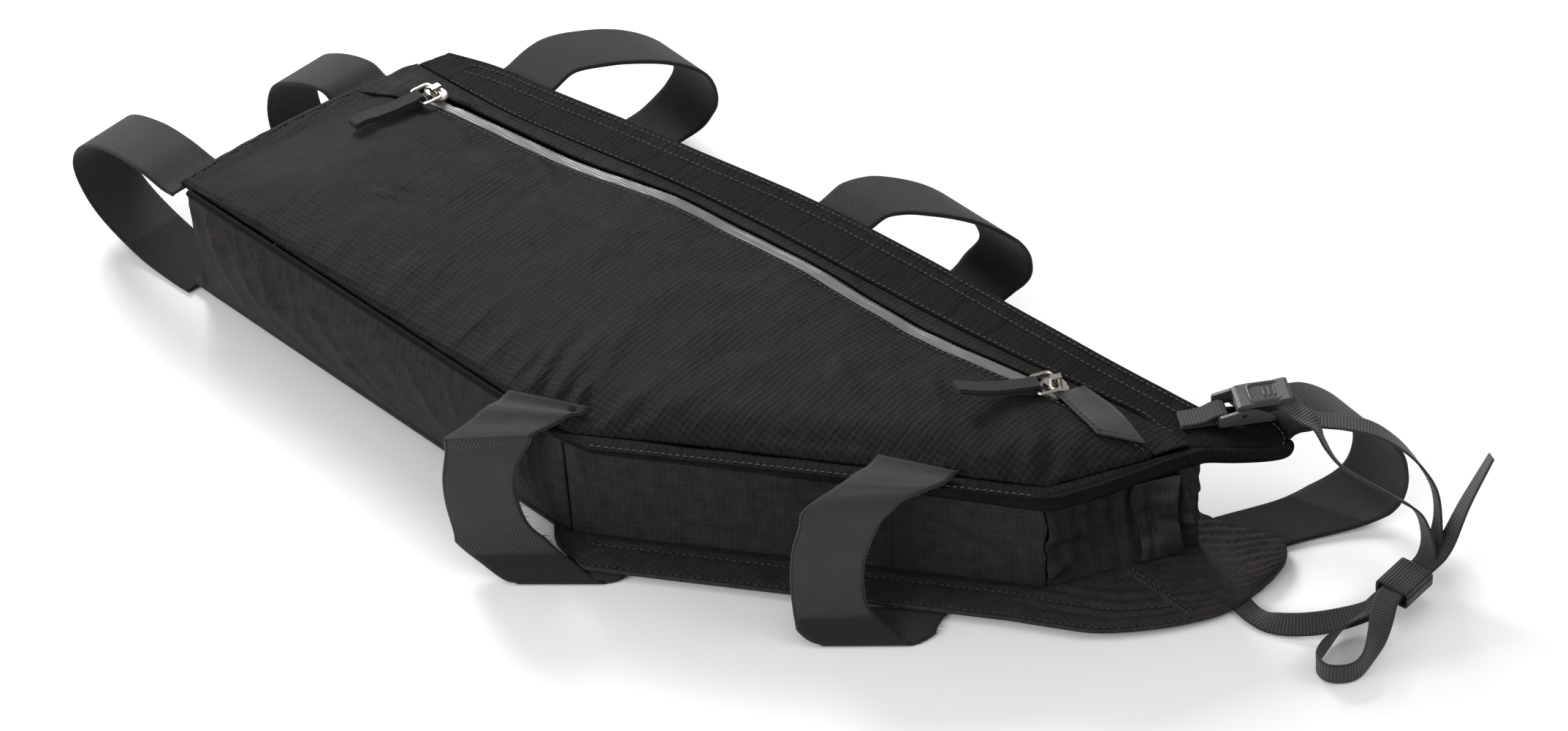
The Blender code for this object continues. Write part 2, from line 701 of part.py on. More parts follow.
def wall(name, lengths, top_heights, swell, inset=0.5, rows=6, chain=LOW_SIDE, look=RIPSTOP):
    """A side wall of cloth; swell gives its bulge by running length and height share."""
    heights = np.linspace(0, 1, rows)
    outer = np.zeros((len(lengths), rows, 3))
    inner = np.zeros_like(outer)
    for j, share in enumerate(heights):
        out = swell(lengths, share) - inset
        z = WALL_LOW + (top_heights - WALL_LOW) * share
        outer[:, j, :2], _ = on_chain(chain, lengths, out)
        inner[:, j, :2], _ = on_chain(chain, lengths, out - CLOTH)
        outer[:, j, 2] = z
        inner[:, j, 2] = z
    slab(name, outer, inner, look)


def bottom_gusset():
    lengths = np.linspace(0.5, LENGTH_C - 1.0, 34)

    def swell(at, share):
        ripple = 0.8 * np.sin(at / 5.2 + 2.2 * share) * np.sin(np.pi * share)
        ripple *= np.exp(-(at / 70.0) ** 2) + np.exp(-((at - LENGTH_C) / 40.0) ** 2)
        body = GUSSET_BULGE * np.sin(np.pi * share) * ease(at / 25.0) * ease((LENGTH_C - at) / 25.0)
        return body + ripple

    tops = np.full(len(lengths), BAG_DEPTH - PIPING - GAP)
    wall("bottom_gusset", lengths, tops, swell, rows=6)


def down_tube_wall():
    lengths = np.linspace(LENGTH_C - 1.0 + GAP, LENGTH_D - 1.0, 16)

    def swell(at, share):
        share_along = (at - LENGTH_C) / (LENGTH_D - LENGTH_C)
        return -WALL_HOLLOW * np.sin(np.pi * share) * np.sin(np.pi * np.clip(share_along, 0, 1))

    wall("down_tube_wall", lengths, BAG_DEPTH - rim_thickness(lengths) - GAP, swell, rows=5)


def front_wall():
    lengths = np.linspace(LENGTH_D - 1.0 + GAP, LOW_TOTAL - 2.0, 22)

    def swell(at, share):
        share_along = np.clip((at - LENGTH_D) / FRONT_LENGTH, 0, 1)
        pull = -FRONT_HOLLOW * np.sin(np.pi * share) * np.sin(np.pi * np.clip(share_along * 1.15, 0, 1))
        gathers = 1.1 * np.sin(at * 0.75 + 2.5 * share) * np.sin(np.pi * share) * ease(share_along * 4)
        return pull + gathers

    wall("front_wall", lengths, BAG_DEPTH - rim_thickness(lengths) - GAP, swell, rows=7)


def seat_tube_wall():
    lengths = np.linspace(0, 1, 20)
    shares = 0.13 + lengths * 0.845
    path = seat_line(shares)
    chain = chain_of(path)

    def swell(at, share):
        return 2.0 * np.sin(np.pi * share) * np.sin(np.pi * at / chain["length"][-1])

    runs = np.linspace(0, chain["length"][-1], 14)
    tops = np.full(len(runs), BAG_DEPTH - DOWN_FLANGE_THICK - GAP)
    wall("seat_tube_wall", runs, tops, swell, rows=5, chain=chain)


def chain_of(path):
    """Normals and running length for a plain list of plan points, bag on the left."""
    length = np.concatenate([[0], np.cumsum(np.linalg.norm(np.diff(path, axis=0), axis=1))])
    tangent = np.gradient(path, axis=0)
    tangent /= np.linalg.norm(tangent, axis=1)[:, None]
    return {"points": path, "normals": np.stack([tangent[:, 1], -tangent[:, 0]], 1), "length": length}


def top_tube_wall():
    x = np.linspace(TOP_LENGTH * 0.985, 2.5, 40)
    chain = chain_of(np.stack([x, seam_y(x) + 1.5], 1))

    def swell(at, share):
        return -1.5 * np.sin(np.pi * share) * np.sin(np.pi * at / chain["length"][-1])

    runs = np.linspace(0, chain["length"][-1], 24)
    tops = np.full(len(runs), BAG_DEPTH - BAND_CLOTH - GAP)
    wall("top_tube_wall", runs, tops, swell, rows=4, chain=chain)


# Rim of the lower tongue from the down-tube flange round to the top edge, X and Y from the
# front corner in tongue reaches
LOWER_TONGUE_RIM = [
    # x, y
    (-0.47, -2.15),
    (-0.09, -1.94),
    (0.29, -1.59),
    (0.65, -1.15),
    (0.91, -0.68),
    (1.00, -0.10),
    (1.00, 0.10),
    (0.93, 0.48),
    (0.70, 0.72),
    (0.40, 0.66),
    (-0.20, 0.50),
]
TONGUE_TURN = 6


def lower_panel():
    """The side that lies on the floor, with its flanges and the wide front tongue."""
    rim = [CORNER_E + LOWER_TONGUE * np.array(row) for row in LOWER_TONGUE_RIM]
    lengths = side_stations()
    lengths = np.concatenate([[0, 6.0, 12.0], lengths[(lengths > 0) & (lengths < LENGTH_D - CORNER_RADIUS)]])
    past_c = np.clip((lengths - LENGTH_C + 10.0) / 20.0, 0, 1)
    low, _ = on_chain(LOW_SIDE, lengths, LOWER_FLANGE * past_c)
    low_wall, _ = on_chain(LOW_SIDE, lengths, 0.0)
    low_in, _ = on_chain(LOW_SIDE, lengths, -BELLY_MARGIN)
    share = (low_wall[:, 0] - low_wall[0, 0]) / (TOP_LENGTH - low_wall[0, 0])
    x = share * TOP_LENGTH
    high = np.stack([x, rim_y(x)], 1)
    high_wall = np.stack([x, seam_y(x)], 1)
    high_in = np.stack([x, seam_y(x) - BELLY_MARGIN], 1)
    middle = between(low_in, high_in, [0, 0.5, 1])
    grid = np.concatenate([low[:, None], low_wall[:, None], middle, high_wall[:, None], high[:, None]], 1)
    grid = bowed(grid, SEAT_FLANGE)
    low_rim = smooth_path([low[-2], low[-1]] + rim[:TONGUE_TURN], 16)
    high_rim = smooth_path([high[-2], high[-1]] + rim[:TONGUE_TURN - 1:-1], 16)
    low_rim = low_rim[np.linalg.norm(low_rim - low[-1], axis=1) > 6.0][1:]
    high_rim = high_rim[np.linalg.norm(high_rim - high[-1], axis=1) > 6.0][1:]
    count = 10
    low_rim = smooth_path(np.vstack([low[-1:], low_rim]), count)[1:]
    high_rim = smooth_path(np.vstack([high[-1:], high_rim]), count)[1:]
    last = grid[-1]
    run = np.linalg.norm(last - last[0], axis=1)
    tongue = between(low_rim, high_rim, run / run[-1])
    grid = np.concatenate([grid, tongue], 0)
    bottom = lifted(grid, lower_surface)
    top = bottom.copy()
    top[:, :, 2] += CLOTH
    slab("lower_panel", top, bottom, RIPSTOP)


def ribbon(name, centres, widths, width, thickness, look, floor=None):
    """A flat strap along a path; widths are the directions of its width at each point.

    A floor function gives the lowest height that its underside may have over plan points.
    With one, the widths stay as given and grow where the path runs aslant of them.
    """
    tangent = np.gradient(centres, axis=0)
    tangent /= np.linalg.norm(tangent, axis=1)[:, None]
    aslant = np.sum(widths * tangent, 1)[:, None]
    face = np.cross(tangent, widths)
    face /= np.linalg.norm(face, axis=1)[:, None]
    if floor:
        widths = widths / np.maximum(np.sqrt(1 - aslant**2), 0.8)
    else:
        widths = np.cross(face, tangent)
    half = widths * width / 2
    outer = np.stack([centres - half, centres + half], 1) + face[:, None] * thickness / 2
    inner = outer - face[:, None] * thickness
    if floor:
        lift = np.zeros(len(centres))
        for line in (outer[:, 0], outer[:, 1], inner[:, 0], inner[:, 1], (inner[:, 0] + inner[:, 1]) / 2):
            lift = np.maximum(lift, floor(line) - line[:, 2])
        outer[:, :, 2] += lift[:, None]
        inner[:, :, 2] += lift[:, None]
    return slab(name, outer, inner, look)


FLOOR_RUN = GAP + STRAP_THICK / 2


def strap_frame(edge, at):
    """Anchor, outward and along directions of a strap's edge."""
    if edge == "seat":
        along = (CORNER_B - CORNER_A) / SEAT_LENGTH
        return seat_line(at)[0], np.array([along[1], -along[0]]), along
    if edge == "down":
        outward = np.array([DOWN_TANGENT[1], -DOWN_TANGENT[0]])
        return CORNER_C + at * DOWN_LENGTH * DOWN_TANGENT, outward, DOWN_TANGENT
    if edge == "top":
        x = at * TOP_LENGTH
        return np.array([x, float(rim_y(np.array([x]))[0])]), np.array([0.0, 1.0]), np.array([1.0, 0.0])
    anchor = CORNER_E + np.array([0.2 * TONGUE_REACH, 1.15 * TONGUE_REACH])
    return anchor, np.array([0.0, 1.0]), np.array([1.0, 0.0])


def strap(name, edge, at, reach, tucked, rows):
    anchor, outward, along = strap_frame(edge, at)
    under = BAND_CLOTH if edge in ("top", "tip") else DOWN_FLANGE_THICK
    seat = BAG_DEPTH - under - GAP - STRAP_THICK / 2 if tucked else BAG_DEPTH + GAP + STRAP_THICK / 2
    stations = []
    for out, lean, height, turn in rows:
        spot = anchor + outward * out * reach + along * lean * STRAP_WIDTH
        stations.append([*spot, FLOOR_RUN + height * (seat - FLOOR_RUN), turn])
    path = smooth_path(stations, 24, bend=12.0)
    turn = np.radians(path[:, 3]) + math.atan2(along[1], along[0])
    widths = np.stack([np.cos(turn), np.sin(turn), np.zeros_like(turn)], 1)

    def clear_of(points):
        inside = np.minimum(line_distance(points[:, :2], CORNER_B, CORNER_C),
                            line_distance(points[:, :2], CORNER_C, CORNER_D)) > -DOWN_FLANGE - 1.0
        on_top = inside & (points[:, 2] > 0.8 * BAG_DEPTH) & (not tucked)
        return np.where(on_top, upper_surface(points[:, :2]) + GAP, GAP)

    ribbon(name, path[:, :3], widths, STRAP_WIDTH, STRAP_THICK, TWILL, clear_of)


def straps():
    for name, made in STRAPS.items():
        strap(name, made["edge"], made["at"], made["reach"], made["tucked"], made["rows"])


def local_frame(x, degrees):
    """A frame on the upper side at a place on the zipper: origin, along and across."""
    spot = np.array([x, float(zip_y(np.array([x]))[0])])
    return spot, plan(1.0, degrees), plan(1.0, degrees + 90.0)


def block(bm, centre, along, across, size, up=0.0):
    """Add a box with its own directions; up is the height of its underside."""
    length, width, height = size
    corners = []
    for z in (up, up + height):
        for a, b in ((-1, -1), (1, -1), (1, 1), (-1, 1)):
            spot = centre + along * a * length / 2 + across * b * width / 2
            corners.append(bm.verts.new((*spot, z)))
    low, top = corners[:4], corners[4:]
    bm.faces.new(low[::-1])
    bm.faces.new(top)
    for k in range(4):
        bm.faces.new((low[k], low[(k + 1) % 4], top[(k + 1) % 4], top[k]))


def zip_direction(x):
    step = 4.0
    rise = zip_y(np.array([x + step]))[0] - zip_y(np.array([x - step]))[0]
    return math.degrees(math.atan2(rise, 2 * step))


def slider(name, x, facing, way):
    """A zipper slider: a boat-shaped body with a bridge over the near bar of its ring."""
    spot, along, across = local_frame(x, zip_direction(x))
    outline = []
    for k in range(14):
        angle = 2 * math.pi * k / 14
        taper = 1.0 - 0.22 * facing * math.cos(angle)
        outline.append(spot + along * math.cos(angle) * SLIDER_LENGTH / 2
                       + across * math.sin(angle) * SLIDER_WIDTH / 2 * taper)
    base = float(upper_surface(np.array(outline)).max()) + GAP
    body_top = base + SLIDER_HEIGHT * 0.42
    bm = bmesh.new()
    rings = []
    for scale, z in ((1.0, base), (1.0, base + SLIDER_HEIGHT * 0.28), (0.86, body_top)):
        rings.append([bm.verts.new((*(spot + (p - spot) * scale), z)) for p in outline])
    for low, top in zip(rings, rings[1:]):
        for k in range(14):
            bm.faces.new((low[k], low[(k + 1) % 14], top[(k + 1) % 14], top[k]))
    bm.faces.new(rings[0][::-1])
    bm.faces.new(rings[-1])
    body = new_object(name, bm, NICKEL)
    foot = 1.1
    reach = RING_WIRE / 2 + 2 * GAP + foot / 2
    bridge_low = body_top + RING_WIRE + 3 * GAP
    bridge_width = SLIDER_WIDTH * 0.36
    side = np.array([-way[1], way[0]])
    bm = bmesh.new()
    block(bm, spot, way, side, (2 * reach + foot, bridge_width, 0.9), bridge_low)
    bridge = new_object(name + "_bridge", bm, NICKEL)
    feet = []
    for end in (-1, 1):
        bm = bmesh.new()
        block(bm, spot + way * end * reach, way, side,
              (foot - 0.1, bridge_width - 0.1, bridge_low - body_top + 0.8), body_top - 0.4)
        feet.append(new_object("%s_foot_%d" % (name, end), bm, NICKEL))
    join_solids(body, [bridge] + feet)
    return spot, body_top + 1.5 * GAP + RING_WIRE / 2


def join_solids(item, others, operation="UNION"):
    """Boolean other solids into one and delete them."""
    for other in others:
        change = item.modifiers.new("shape", "BOOLEAN")
        change.operation = operation
        change.solver = "EXACT"
        change.object = other
    bpy.context.view_layer.update()
    graph = bpy.context.evaluated_depsgraph_get()
    mesh = bpy.data.meshes.new_from_object(item.evaluated_get(graph))
    item.modifiers.clear()
    old = item.data
    item.data = mesh
    bpy.data.meshes.remove(old)
    mesh.name = item.name
    for other in others:
        bpy.data.objects.remove(other, do_unlink=True)


def ring_points(width, length, corner, count=4):
    """Rounded rectangle in its own plane, as a list of (a, b)."""
    points = []
    for k, (sa, sb) in enumerate(((1, 1), (-1, 1), (-1, -1), (1, -1))):
        for step in range(count):
            angle = math.pi / 2 * (k + step / (count - 1))
            points.append((sa * (length / 2 - corner) + corner * math.cos(angle),
                           sb * (width / 2 - corner) + corner * math.sin(angle)))
    return points


def wire_ring(name, centre, forward, sideways, length, width, wire, look):
    """A closed wire ring in the plane of two 3-D directions."""
    path = [centre + forward * a + sideways * b for a, b in ring_points(width, length, width * 0.16)]
    path = np.array(path)
    normal = np.cross(forward, sideways)
    count = len(path)
    tangent = np.roll(path, -1, 0) - np.roll(path, 1, 0)
    tangent /= np.linalg.norm(tangent, axis=1)[:, None]
    radial = np.cross(tangent, normal)
    bm = bmesh.new()
    loops = []
    for i in range(count):
        loop = []
        for k in range(6):
            angle = 2 * math.pi * k / 6
            loop.append(bm.verts.new(path[i] + wire / 2 * (math.cos(angle) * radial[i] + math.sin(angle) * normal)))
        loops.append(loop)
    for i in range(count):
        this, following = loops[i], loops[(i + 1) % count]
        for k in range(6):
            bm.faces.new((this[k], this[(k + 1) % 6], following[(k + 1) % 6], following[k]))
    return new_object(name, bm, look)


# Each pull: slider place in top lengths, which way the slider points, pull direction in
# degrees, its length in pull widths, and the lift of its far end in pull widths
PULLS = {
    "rear": {"at": 0.036, "facing": -1, "direction": 259.0, "length": 2.9, "lift": 0.08},
    "front": {"at": 0.842, "facing": 1, "direction": 241.0, "length": 2.8, "lift": 0.55},
}


def zipper_pulls():
    for end, made in PULLS.items():
        way = plan(1.0, made["direction"])
        spot, level = slider("zipper_slider_" + end, made["at"] * TOP_LENGTH, made["facing"], way)
        forward = np.array([*way, 0.0])
        sideways = np.array([-way[1], way[0], 0.0])
        ring_length = PULL_WIDTH * 0.8
        bar = ring_length / 2
        centre = np.array([*spot, level]) + forward * bar
        wire_ring("pull_ring_" + end, centre, forward, sideways, ring_length, PULL_WIDTH, RING_WIRE, NICKEL)
        pull_tab("pull_tab_" + end, centre + forward * bar, forward, sideways, made)


def pull_tab(name, start, forward, sideways, made):
    """A strip folded through the ring: two layers that meet and lie on the bag."""
    length = made["length"] * PULL_WIDTH
    loop = RING_WIRE / 2 + 2 * GAP + PULL_THICK / 2
    layer = PULL_THICK / 2 + 0.15
    lift = made["lift"] * PULL_WIDTH
    far = [(length * t, layer + (loop - layer) * math.exp(-9 * t)) for t in (0.10, 0.2, 0.35, 0.55, 0.78, 1.0)]
    fold = [(-loop * math.cos(angle), loop * math.sin(angle)) for angle in np.linspace(-1.3, 1.3, 7)]
    profile = [(a, -z) for a, z in far[::-1]] + fold + far
    path = []
    for a, z in profile:
        share = max(a, 0.0) / length
        spot = start + forward * a
        under = spot[:2] + np.outer([-1, 0, 1], sideways[:2]) * PULL_WIDTH * 0.3
        rest = float(upper_surface(under).max()) + 4 * GAP + layer + PULL_THICK / 2
        settle = float(ease(np.array(share * (1.6 if rest < start[2] else 4.0))))
        height = start[2] + (rest - start[2]) * settle + lift * share**2
        path.append([spot[0], spot[1], height + z])
    path = np.array(path)
    widths = np.tile(sideways, (len(path), 1))
    ribbon(name, path, widths, PULL_WIDTH * 0.6, PULL_THICK, TWILL)


def zip_garage():
    """Smooth patch over the front end of the zipper, with a slit hood."""
    x0 = TOP_LENGTH * 0.855
    x1 = x0 + GARAGE_LENGTH
    x = np.linspace(x0, x1, 8)
    low = np.stack([x, zip_y(x) - TAPE_WIDTH * 1.3], 1)
    high = np.stack([x, zip_y(x) + TAPE_WIDTH * 0.55], 1)
    grid = between(low, high, [0, 0.33, 0.66, 1])
    grid[0, 1:3, 0] += 3.0
    outer = lifted(grid, upper_surface, -(CLOTH + GAP))
    inner = lifted(grid, upper_surface, -GAP)
    slab("zip_garage", outer, inner, COATED)


def port_flap():
    """Vertical strip over the hose port in the front wall."""
    lengths = np.linspace(LENGTH_D + FRONT_LENGTH * 0.60, LENGTH_D + FRONT_LENGTH * 0.84, 5)
    rows = np.linspace(0.06, 0.94, 9)
    outer = np.zeros((5, 9, 3))
    inner = np.zeros_like(outer)
    top = BAG_DEPTH - FRONT_RIM_THICK - GAP
    for j, share in enumerate(rows):
        along = np.clip((lengths - LENGTH_D) / FRONT_LENGTH, 0, 1)
        pull = -FRONT_HOLLOW * np.sin(np.pi * share) * np.sin(np.pi * np.clip(along * 1.15, 0, 1))
        out = pull - 0.5 + 1.1 * math.sin(math.pi * share) + GAP + 0.4
        z = WALL_LOW + (top - WALL_LOW) * share
        outer[:, j, :2], _ = on_chain(LOW_SIDE, lengths, out + CLOTH)
        inner[:, j, :2], _ = on_chain(LOW_SIDE, lengths, out)
        outer[:, j, 2] = z
        inner[:, j, 2] = z
    slab("port_flap", outer, inner, COATED)


# Cam buckle: its own frame has a along it toward the lever tip, b across and z up
BUCKLE_TURN = 50.0
BUCKLE_SPOT = CORNER_E + np.array([0.07 * TONGUE_REACH, 1.01 * TONGUE_REACH])
BUCKLE_BASE = BAG_DEPTH + GAP + WEBBING_THICK + GAP
BUCKLE_ALONG = plan(1.0, BUCKLE_TURN)
BUCKLE_ACROSS = plan(1.0, BUCKLE_TURN + 90.0)
PIN_A = -0.09 * BUCKLE_LENGTH
REAR_A = -0.42 * BUCKLE_LENGTH
FRONT_A = 0.33 * BUCKLE_LENGTH
BAR_RADIUS = 1.4
REAR_BAR_Z = BUCKLE_BASE + BAR_RADIUS
FRONT_BAR_TOP = BUCKLE_BASE + 1.5
WRAP = PIN_RADIUS + GAP + WEBBING_THICK / 2
PIN_Z = FRONT_BAR_TOP + GAP + WEBBING_THICK / 2 + WRAP
LEVER_LOW = PIN_Z + WRAP + WEBBING_THICK / 2 + 2 * GAP
LEVER_ARM = 0.9
LEVER_EDGE = 0.2
ARM_B = WEBBING_WIDTH / 2 + GAP + LEVER_ARM / 2
CHEEK_B = ARM_B + LEVER_ARM / 2 + GAP + CHEEK / 2
LEVER_TIP = 0.70 * BUCKLE_LENGTH


def buckle_spot(a, b, z):
    return np.array([*(BUCKLE_SPOT + BUCKLE_ALONG * a + BUCKLE_ACROSS * b), z])


def buckle_extrusion(name, outline, b0, b1, look=PLASTIC):
    """A solid with a given outline in (a, z), between two places across the buckle."""
    bm = bmesh.new()
    near = [bm.verts.new(buckle_spot(a, b0, z)) for a, z in outline]
    far = [bm.verts.new(buckle_spot(a, b1, z)) for a, z in outline]
    count = len(outline)
    bm.faces.new(near)
    bm.faces.new(far[::-1])
    for k in range(count):
        bm.faces.new((near[k], far[k], far[(k + 1) % count], near[(k + 1) % count]))
    return new_object(name, bm, look)


def round_outline(a, z, radius, sides=12):
    turn = [2 * math.pi * (k + 0.5) / sides for k in range(sides)]
    return [(a + radius * math.cos(t), z + radius * math.sin(t)) for t in turn]


def buckle_frame():
    low = BUCKLE_BASE
    high = PIN_Z + PIN_RADIUS + 1.3
    cheek = [
        (REAR_A - 2.2, low), (FRONT_A + 1.8, low), (FRONT_A + 2.4, low + 2.0),
        (PIN_A + 5.0, high), (PIN_A - 3.0, high), (REAR_A - 1.6, high - 1.6), (REAR_A - 2.2, high - 3.0),
    ]
    sides = []
    for k, side in enumerate((-1, 1)):
        b0 = side * CHEEK_B - CHEEK / 2
        sides.append(buckle_extrusion("cheek_%d" % k, cheek, b0, b0 + CHEEK))
    reach = CHEEK_B
    rear_bar = buckle_extrusion("rear_bar", round_outline(REAR_A, REAR_BAR_Z, BAR_RADIUS), -reach, reach)
    front = [(FRONT_A - 1.6, low), (FRONT_A + 1.6, low), (FRONT_A + 1.6, FRONT_BAR_TOP - 0.4),
             (FRONT_A + 1.0, FRONT_BAR_TOP), (FRONT_A - 1.0, FRONT_BAR_TOP), (FRONT_A - 1.6, FRONT_BAR_TOP - 0.4)]
    front_bar = buckle_extrusion("front_bar", front, -reach, reach)
    frame = sides[0]
    frame.name = "buckle_frame"
    frame.data.name = "buckle_frame"
    join_solids(frame, [sides[1], rear_bar, front_bar])
    hole = buckle_extrusion("pin_hole", round_outline(PIN_A, PIN_Z, PIN_RADIUS + PIN_FIT),
                            -BUCKLE_WIDTH, BUCKLE_WIDTH)
    join_solids(frame, [hole], "DIFFERENCE")


def buckle_pin():
    reach = CHEEK_B + CHEEK / 2 - GAP
    buckle_extrusion("buckle_pin", round_outline(PIN_A, PIN_Z, PIN_RADIUS), -reach, reach, NICKEL)


def buckle_lever():
    """The lever: two arms on the pin and a plate over the webbing with a lifted tip."""
    reach = ARM_B + LEVER_ARM / 2
    plate = [
        (PIN_A - 2.6, LEVER_LOW), (LEVER_TIP - 5.0, LEVER_LOW), (LEVER_TIP, LEVER_LOW + 1.6),
        (LEVER_TIP + 0.4, LEVER_LOW + 2.4), (LEVER_TIP - 1.0, LEVER_LOW + 2.9),
        (LEVER_TIP - 6.0, LEVER_LOW + LEVER_THICK), (PIN_A + 4.0, LEVER_LOW + LEVER_THICK),
        (PIN_A - 1.2, LEVER_LOW + LEVER_THICK * 0.8), (PIN_A - 2.6, LEVER_LOW + LEVER_THICK * 0.4),
    ]
    lever = buckle_extrusion("buckle_lever", plate, -reach - LEVER_EDGE, reach + LEVER_EDGE)
    arm = [(PIN_A - 2.4, PIN_Z - 1.0), (PIN_A - 1.0, PIN_Z - 2.2), (PIN_A + 1.0, PIN_Z - 2.2),
           (PIN_A + 2.4, PIN_Z - 1.0), (PIN_A + 3.6, LEVER_LOW + 0.8), (PIN_A - 2.4, LEVER_LOW + 0.8)]
    arms = []
    for k, side in enumerate((-1, 1)):
        b0 = side * ARM_B - LEVER_ARM / 2
        arms.append(buckle_extrusion("arm_%d" % k, arm, b0, b0 + LEVER_ARM))
    join_solids(lever, arms)
    hole = buckle_extrusion("lever_hole", round_outline(PIN_A, PIN_Z, PIN_RADIUS + PIN_FIT), -reach - 1, reach + 1)
    join_solids(lever, [hole], "DIFFERENCE")


def buckle_tab():
    """Webbing sewn on the front tongue that holds the buckle by its rear bar."""
    wrap = BAR_RADIUS + GAP + WEBBING_THICK / 2
    low = BAG_DEPTH + GAP + WEBBING_THICK / 2
    run = 17.0
    flat = [(REAR_A - t, low) for t in np.linspace(run, 3.0, 5)]
    turn = [(REAR_A + wrap * math.cos(t), REAR_BAR_Z + wrap * math.sin(t))
            for t in np.linspace(-math.pi * 0.40, math.pi * 0.55, 9)]
    upper = [(REAR_A - 3.4, REAR_BAR_Z + wrap * 0.72), (REAR_A - 7.0, low + WEBBING_THICK + 1.1),
             (REAR_A - 11.0, low + WEBBING_THICK + GAP), (REAR_A - run, low + WEBBING_THICK + GAP)]
    profile = flat + turn + upper
    path = np.array([buckle_spot(a, 0.0, z) for a, z in profile])
    widths = np.tile(np.array([*BUCKLE_ACROSS, 0.0]), (len(path), 1))
    ribbon("buckle_tab", path, widths, WEBBING_WIDTH, WEBBING_THICK, TWILL)


def webbing_stations(rows):
    stations = []
    for x, y, height, turn, tilt in rows:
        stations.append([TOP_LENGTH + x * WEBBING_REACH, y * WEBBING_REACH, height * BAG_DEPTH, turn, tilt])
    return stations


def adjuster_webbing():
    """One strand: tongue, keeper, round the buckle's pin, keeper, loop, keeper and tail."""
    inside = []
    turn = BUCKLE_TURN + 90.0
    strand = [(FRONT_A + 6.0, PIN_Z - WRAP - 0.3)]
    strand += [(a, PIN_Z - WRAP) for a in (FRONT_A, PIN_A + 7.0, PIN_A + 4.0, PIN_A + 2.0, PIN_A + 1.0)]
    strand += [(PIN_A - WRAP * math.sin(t), PIN_Z - WRAP * math.cos(t)) for t in np.linspace(0, math.pi, 7)]
    strand += [(a, PIN_Z + WRAP) for a in (PIN_A + 1.0, PIN_A + 2.0, PIN_A + 4.0, PIN_A + 7.0, FRONT_A)]
    strand += [(FRONT_A + 6.0, PIN_Z + WRAP - 1.0)]
    for a, z in strand:
        inside.append([*buckle_spot(a, 0.0, z), turn, 0.0])
    stations = webbing_stations(ADJUSTER_UP) + inside + webbing_stations(ADJUSTER_DOWN)
    path = smooth_path(stations, 130, bend=24.0)
    turn = np.radians(path[:, 3])
    tilt = np.radians(path[:, 4])
    widths = np.stack([np.cos(turn) * np.cos(tilt), np.sin(turn) * np.cos(tilt), np.sin(tilt)], 1)
    ribbon("adjuster_webbing", path[:, :3], widths, WEBBING_WIDTH, WEBBING_THICK, TWILL)


def webbing_keeper():
    """Woven sleeve round the three layers of webbing."""
    middle = np.array([TOP_LENGTH + 0.80 * WEBBING_REACH, 0.30 * WEBBING_REACH])
    width = WEBBING_WIDTH + 4.0
    low = KEEPER_LAYERS[0] * BAG_DEPTH - WEBBING_THICK / 2 - 3 * GAP
    high = KEEPER_LAYERS[1] * BAG_DEPTH + WEBBING_THICK / 2 + 2 * GAP
    bm = bmesh.new()
    block(bm, middle, np.array([0.0, 1.0]), np.array([-1.0, 0.0]),
          (KEEPER_LENGTH, width + 2 * KEEPER_WALL, high - low + 2 * KEEPER_WALL), low - KEEPER_WALL)
    sleeve = new_object("webbing_keeper", bm, TWILL)
    bm = bmesh.new()
    block(bm, middle, np.array([0.0, 1.0]), np.array([-1.0, 0.0]), (KEEPER_LENGTH * 2, width, high - low), low)
    join_solids(sleeve, [new_object("keeper_core", bm, TWILL)], "DIFFERENCE")


lower_panel()
bottom_gusset()
down_tube_wall()
front_wall()
seat_tube_wall()
top_tube_wall()
port_flap()
side_panel()
zipper_tape()
zipper_coil()
zip_panel()
top_band()
down_flange()
seat_flange()
piping()
zip_garage()
zipper_pulls()
straps()
buckle_tab()
buckle_frame()
buckle_pin()
buckle_lever()
adjuster_webbing()
webbing_keeper()
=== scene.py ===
"""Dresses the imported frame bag: cloth, straps, zipper and webbing at full detail, floor, light, camera."""
import math

import bmesh
import bpy
import numpy as np
from mathutils import Matrix, Vector


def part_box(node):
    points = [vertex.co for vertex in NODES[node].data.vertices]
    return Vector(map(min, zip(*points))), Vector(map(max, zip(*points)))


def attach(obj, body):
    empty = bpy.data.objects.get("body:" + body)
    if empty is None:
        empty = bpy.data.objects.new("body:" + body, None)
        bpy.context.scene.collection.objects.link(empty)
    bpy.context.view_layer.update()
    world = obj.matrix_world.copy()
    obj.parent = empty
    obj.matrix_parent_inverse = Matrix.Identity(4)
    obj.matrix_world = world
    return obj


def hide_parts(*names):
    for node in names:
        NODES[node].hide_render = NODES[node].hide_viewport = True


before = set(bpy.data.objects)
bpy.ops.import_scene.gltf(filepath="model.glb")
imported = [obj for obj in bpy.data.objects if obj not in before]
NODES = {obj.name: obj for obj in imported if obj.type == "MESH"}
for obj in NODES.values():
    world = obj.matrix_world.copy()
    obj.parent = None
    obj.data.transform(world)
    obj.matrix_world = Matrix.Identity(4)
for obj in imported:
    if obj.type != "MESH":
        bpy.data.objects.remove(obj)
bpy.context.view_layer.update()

MM = 0.001
ORIGIN = np.array([190.0, -75.0, 0.0])

